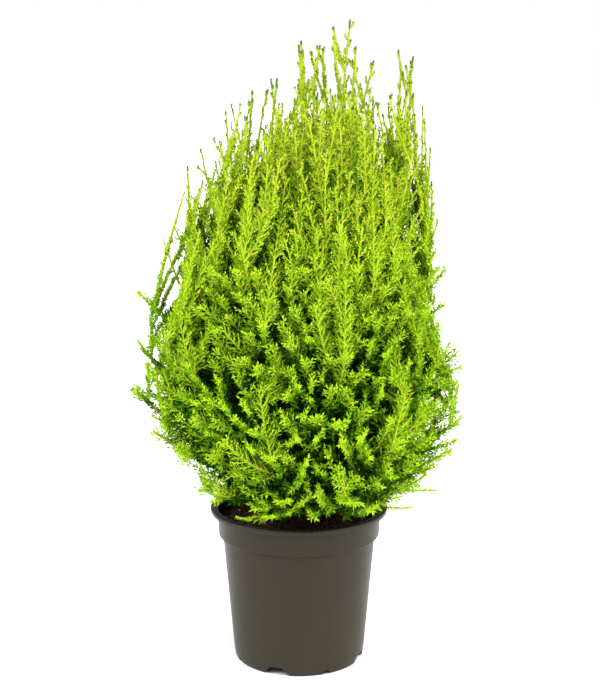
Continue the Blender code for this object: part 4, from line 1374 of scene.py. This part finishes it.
def needleTints(twigs, which, share, places, spots, rng):
    count = len(which)
    cover = coverOver(spots, *foliageGrid(twigs.keep(twigs.order > 1)))
    # each spray's green is its painted shade or light
    tint = sprayTints(spots, cover, rng.normal(0.0, tints["spread"], len(twigs.mass))[which])
    odd = rng.uniform(0, 1, count)
    tint = np.clip(tint - (odd < tints["oddNeedles"]) + (odd > 1 - tints["oddNeedles"]), 0, limeTint)
    # the short shoots of the upper crown are partly gold and end in olive clubs
    high = highness(places[:, 2])
    gold = tints["gold"] * np.interp(places[:, 2], tints["goldFrom"], (0.0, 1.0))
    tint = np.where((tint == limeTint) & (rng.uniform(0, 1, count) < gold), goldTint, tint)
    outer = underOutline(places) < tints["clubDepth"]
    club = (share > tints["clubFrom"]) & (twigs.order[which] >= 2) & outer
    club &= rng.uniform(0, 1, count) < tints["clubs"][0] + tints["clubs"][1] * high
    club |= (share > tints["capFrom"]) & (high > tints["capHigh"])
    return np.where(club, oliveTint, tint)


def growNeedles(twigs, rng):
    rules = needleRules
    main = twigs.order < 2
    middles = (twigs.base + twigs.tip) / 2
    inside = np.where(main, 0.0, deepness(middles))
    spacing = byHeight(rules["spacing"], twigs.tip[:, 2]) * (1 + (rules["deepSize"] - 1) * inside)
    spacing = np.where(main, spacing * rules["onStems"], spacing)
    spacing = np.where(inMass(twigs.tip), spacing, spacing * rules["cordSpacing"])
    which, node, nodes = (np.repeat(values, 2) for values in spread(twigs, spacing))
    partner = np.arange(len(which)) % 2
    count = len(which)
    first = twigs.first[which]
    jitter = rng.uniform(*rules["stationJitter"], count)
    share = np.minimum(first + (1 - first) * (node + rules["firstNode"] + jitter) / nodes, rules["last"])
    places, ahead = twigs.at(which, share), twigs.ahead(which, share)
    # a spray is all of one kind, and along a stem the needles change with their own depth
    spots = np.where(main[which][:, None], places, middles[which])
    inside = deepness(spots)
    turn = rules["turn"] + rng.uniform(-1, 1, len(twigs.mass))[which] * rules["turnJitter"]
    roll = node * 90.0 + partner * 180.0 + turn + rng.uniform(-1, 1, count) * rules["rollJitter"]
    points = needleShapes(places, ahead, share, np.radians(roll)[:, None], inside, rng)
    tint = needleTints(twigs, which, share, places, spots, rng)
    kept = ~main[which] | (rng.uniform(0, 1, count) > inside)
    return points[kept], tint[kept], twigs.mass[which][kept]


def twigTubes(twigs, rings, sides):
    # tapering twigs with a pointed end: points, triangles, and the share and twig of each triangle
    count = len(twigs.mass)
    which = np.arange(count)
    shares = np.arange(rings) / rings
    points = np.empty((count, rings * sides + 1, 3))
    start = facing(twigs.base, twigs.ahead(which, np.zeros(count)))[0]
    for i, share in enumerate(shares):
        here = np.full(count, share)
        centre, ahead = twigs.at(which, here), twigs.ahead(which, here)
        up = unit(start - ahead * (start * ahead).sum(axis=1, keepdims=True))
        side = np.cross(ahead, up)
        radius = twigs.thick + (twigs.thin - twigs.thick) * share
        for k in range(sides):
            angle = 2 * math.pi * k / sides
            spot = side * math.cos(angle) + up * math.sin(angle)
            points[:, i * sides + k] = centre + spot * radius[:, None]
    points[:, -1] = twigs.tip
    faces, level = [], []
    for i in range(rings):
        for k in range(sides):
            a, b = i * sides + k, i * sides + (k + 1) % sides
            made = [(a, b, b + sides), (a, b + sides, a + sides)]
            if i == rings - 1:
                made = [(a, b, rings * sides)]
            faces += made
            level += [shares[i]] * len(made)
    faces = np.array(faces)
    offsets = (np.arange(count) * (rings * sides + 1))[:, None, None]
    allFaces = (faces[None] + offsets).reshape(-1, 3)
    return points.reshape(-1, 3), allFaces, np.tile(level, count), np.repeat(which, len(faces))


def twigTint(twigs, share, which, rng):
    # brown wood inside, dark green as painted shade on twigs deep in the crown, lime further out, and yellow
    # or pink in the upper shoots
    brown, green, lime, yellow, pink = range(5)
    places = twigs.base[which] + (twigs.tip[which] - twigs.base[which]) * share[:, None]
    high = highness(places[:, 2])
    draw = rng.uniform(0, 1, len(twigs.mass))[which]
    tint = np.where(draw < tints["yellowTwigs"][0] + tints["yellowTwigs"][1] * high, yellow, lime)
    tint = np.where(draw < tints["pinkTwigs"][0] + tints["pinkTwigs"][1] * high, pink, tint)
    order = twigs.order[which]
    depth = shadedDepth(places)
    tint = np.where((depth > tints["paintedShadeTwigDepth"]) & (order >= 1), green, tint)
    foot = (order == 0) & (share < tints["footShare"])
    wood = depth > np.where(foot, tints["brownFootDepth"], tints["brownDepth"])
    return np.where((order <= 1) & wood, brown, tint)


def pieceLimbs(masses, perItem):
    # a name and its limbs for each piece: limbs of one ring, as long as their triangles stay few enough
    counts = np.bincount(masses, minlength=len(limbs)) * perItem
    rings = {}
    for number, limb in enumerate(limbs):
        ring = limb.name.split("_")[0] if "_" in limb.name else "leaders"
        pieces = rings.setdefault(ring, [[]])
        if pieces[-1] and counts[pieces[-1] + [number]].sum() > twigShapes["mostTriangles"]:
            pieces.append([])
        pieces[-1].append(number)
    return [(f"{ring}_{i + 1}", members) for ring, pieces in rings.items()
            for i, members in enumerate(pieces)]


def plainFinishes(name):
    fixed = {"Roughness": tints["roughness"], "Specular IOR Level": tints["gloss"]}
    return [Finish(f"{name}{number}", {"Base Color": opaque(colour), **fixed})
            for number, colour in enumerate(tints[name])]


def makeNeedles(twigs, rng):
    # needles0 to needles4 are darker copies of the lime needles5 that paint shade
    finishes = plainFinishes("needles")
    points, tint, mass = growNeedles(twigs, rng)
    print("needles:", len(points))
    corners = np.array([(0, 1, 2), (0, 2, 3)])
    for name, members in pieceLimbs(mass, len(corners)):
        chosen = np.isin(mass, members)
        part = points[chosen]
        faces = (corners[None] + (np.arange(len(part)) * 4)[:, None, None]).reshape(-1, 3)
        piece = meshPiece(f"needles_{name}", part.reshape(-1, 3), faces, finishes,
                          np.repeat(tint[chosen], len(corners)))
        standFor(piece, [f"foliage_{limbs[number].name}" for number in members])


def makeTwigs(kinds, rng):
    finishes = plainFinishes("twigs")
    tubes = []
    for twigs, shape in kinds:
        tubePoints, faces, share, which = twigTubes(twigs, *twigShapes[shape])
        tubes.append((tubePoints, faces, twigTint(twigs, share, which, rng), twigs.mass[which]))
    for name, members in pieceLimbs(np.concatenate([tube[3] for tube in tubes]), 1):
        allPoints, allFaces, allTints, start = [], [], [], 0
        for tubePoints, faces, tint, mass in tubes:
            chosen = np.isin(mass, members)
            used, faces = np.unique(faces[chosen], return_inverse=True)
            allPoints.append(tubePoints[used])
            allFaces.append(faces.reshape(-1, 3) + start)
            allTints.append(tint[chosen])
            start += len(used)
        piece = meshPiece(f"twigs_{name}", np.concatenate(allPoints), np.concatenate(allFaces),
                          finishes, np.concatenate(allTints))
        standFor(piece, [f"foliage_{limbs[number].name}" for number in members])


def makeFoliage():
    rng = np.random.default_rng(limbRules["seed"])
    shootRng = np.random.default_rng(shootRules["seed"])
    solid = growMain()
    edge = growShoots(solid, edgeTips(), shootRules["edge"])
    print("shoots at the edge:", len(edge.mass), "of", len(shootRules["edgeTips"]))
    taken = np.concatenate([solid.tip, edge.tip])
    shoots = joined([edge, growShoots(solid, openTips(taken, shootRng), shootRules)])
    main = joined([solid, shoots])
    for _ in range(fillRules["rounds"]):
        fill = growShoots(main, openPlaces(main, shootRng), fillRules)
        shoots, main = joined([shoots, fill]), joined([main, fill])
    sprays = sideTwigs(main, sprayRules, rng, 2)
    bushy = sprays.lengths() > byHeight(twigletRules["parentFrom"], sprays.base[:, 2])
    bushy &= deepness(sprays.base) < twigletRules["deepest"]
    twiglets = sideTwigs(sprays.keep(bushy), twigletRules, rng, 3)
    print("twigs:", len(solid.mass), "stems and plumes,", len(shoots.mass), "shoots,",
          len(sprays.mass), "sprays,", len(twiglets.mass), "twiglets")
    makeNeedles(joined([main, sprays, twiglets]), rng)
    longOnes = sprays.lengths() > twigShapes["longFrom"]
    makeTwigs(((solid, "stems"), (shoots, "shoots"), (sprays.keep(longOnes), "longSprays"),
               (sprays.keep(~longOnes), "others"), (twiglets, "others")), rng)


makeFoliage()
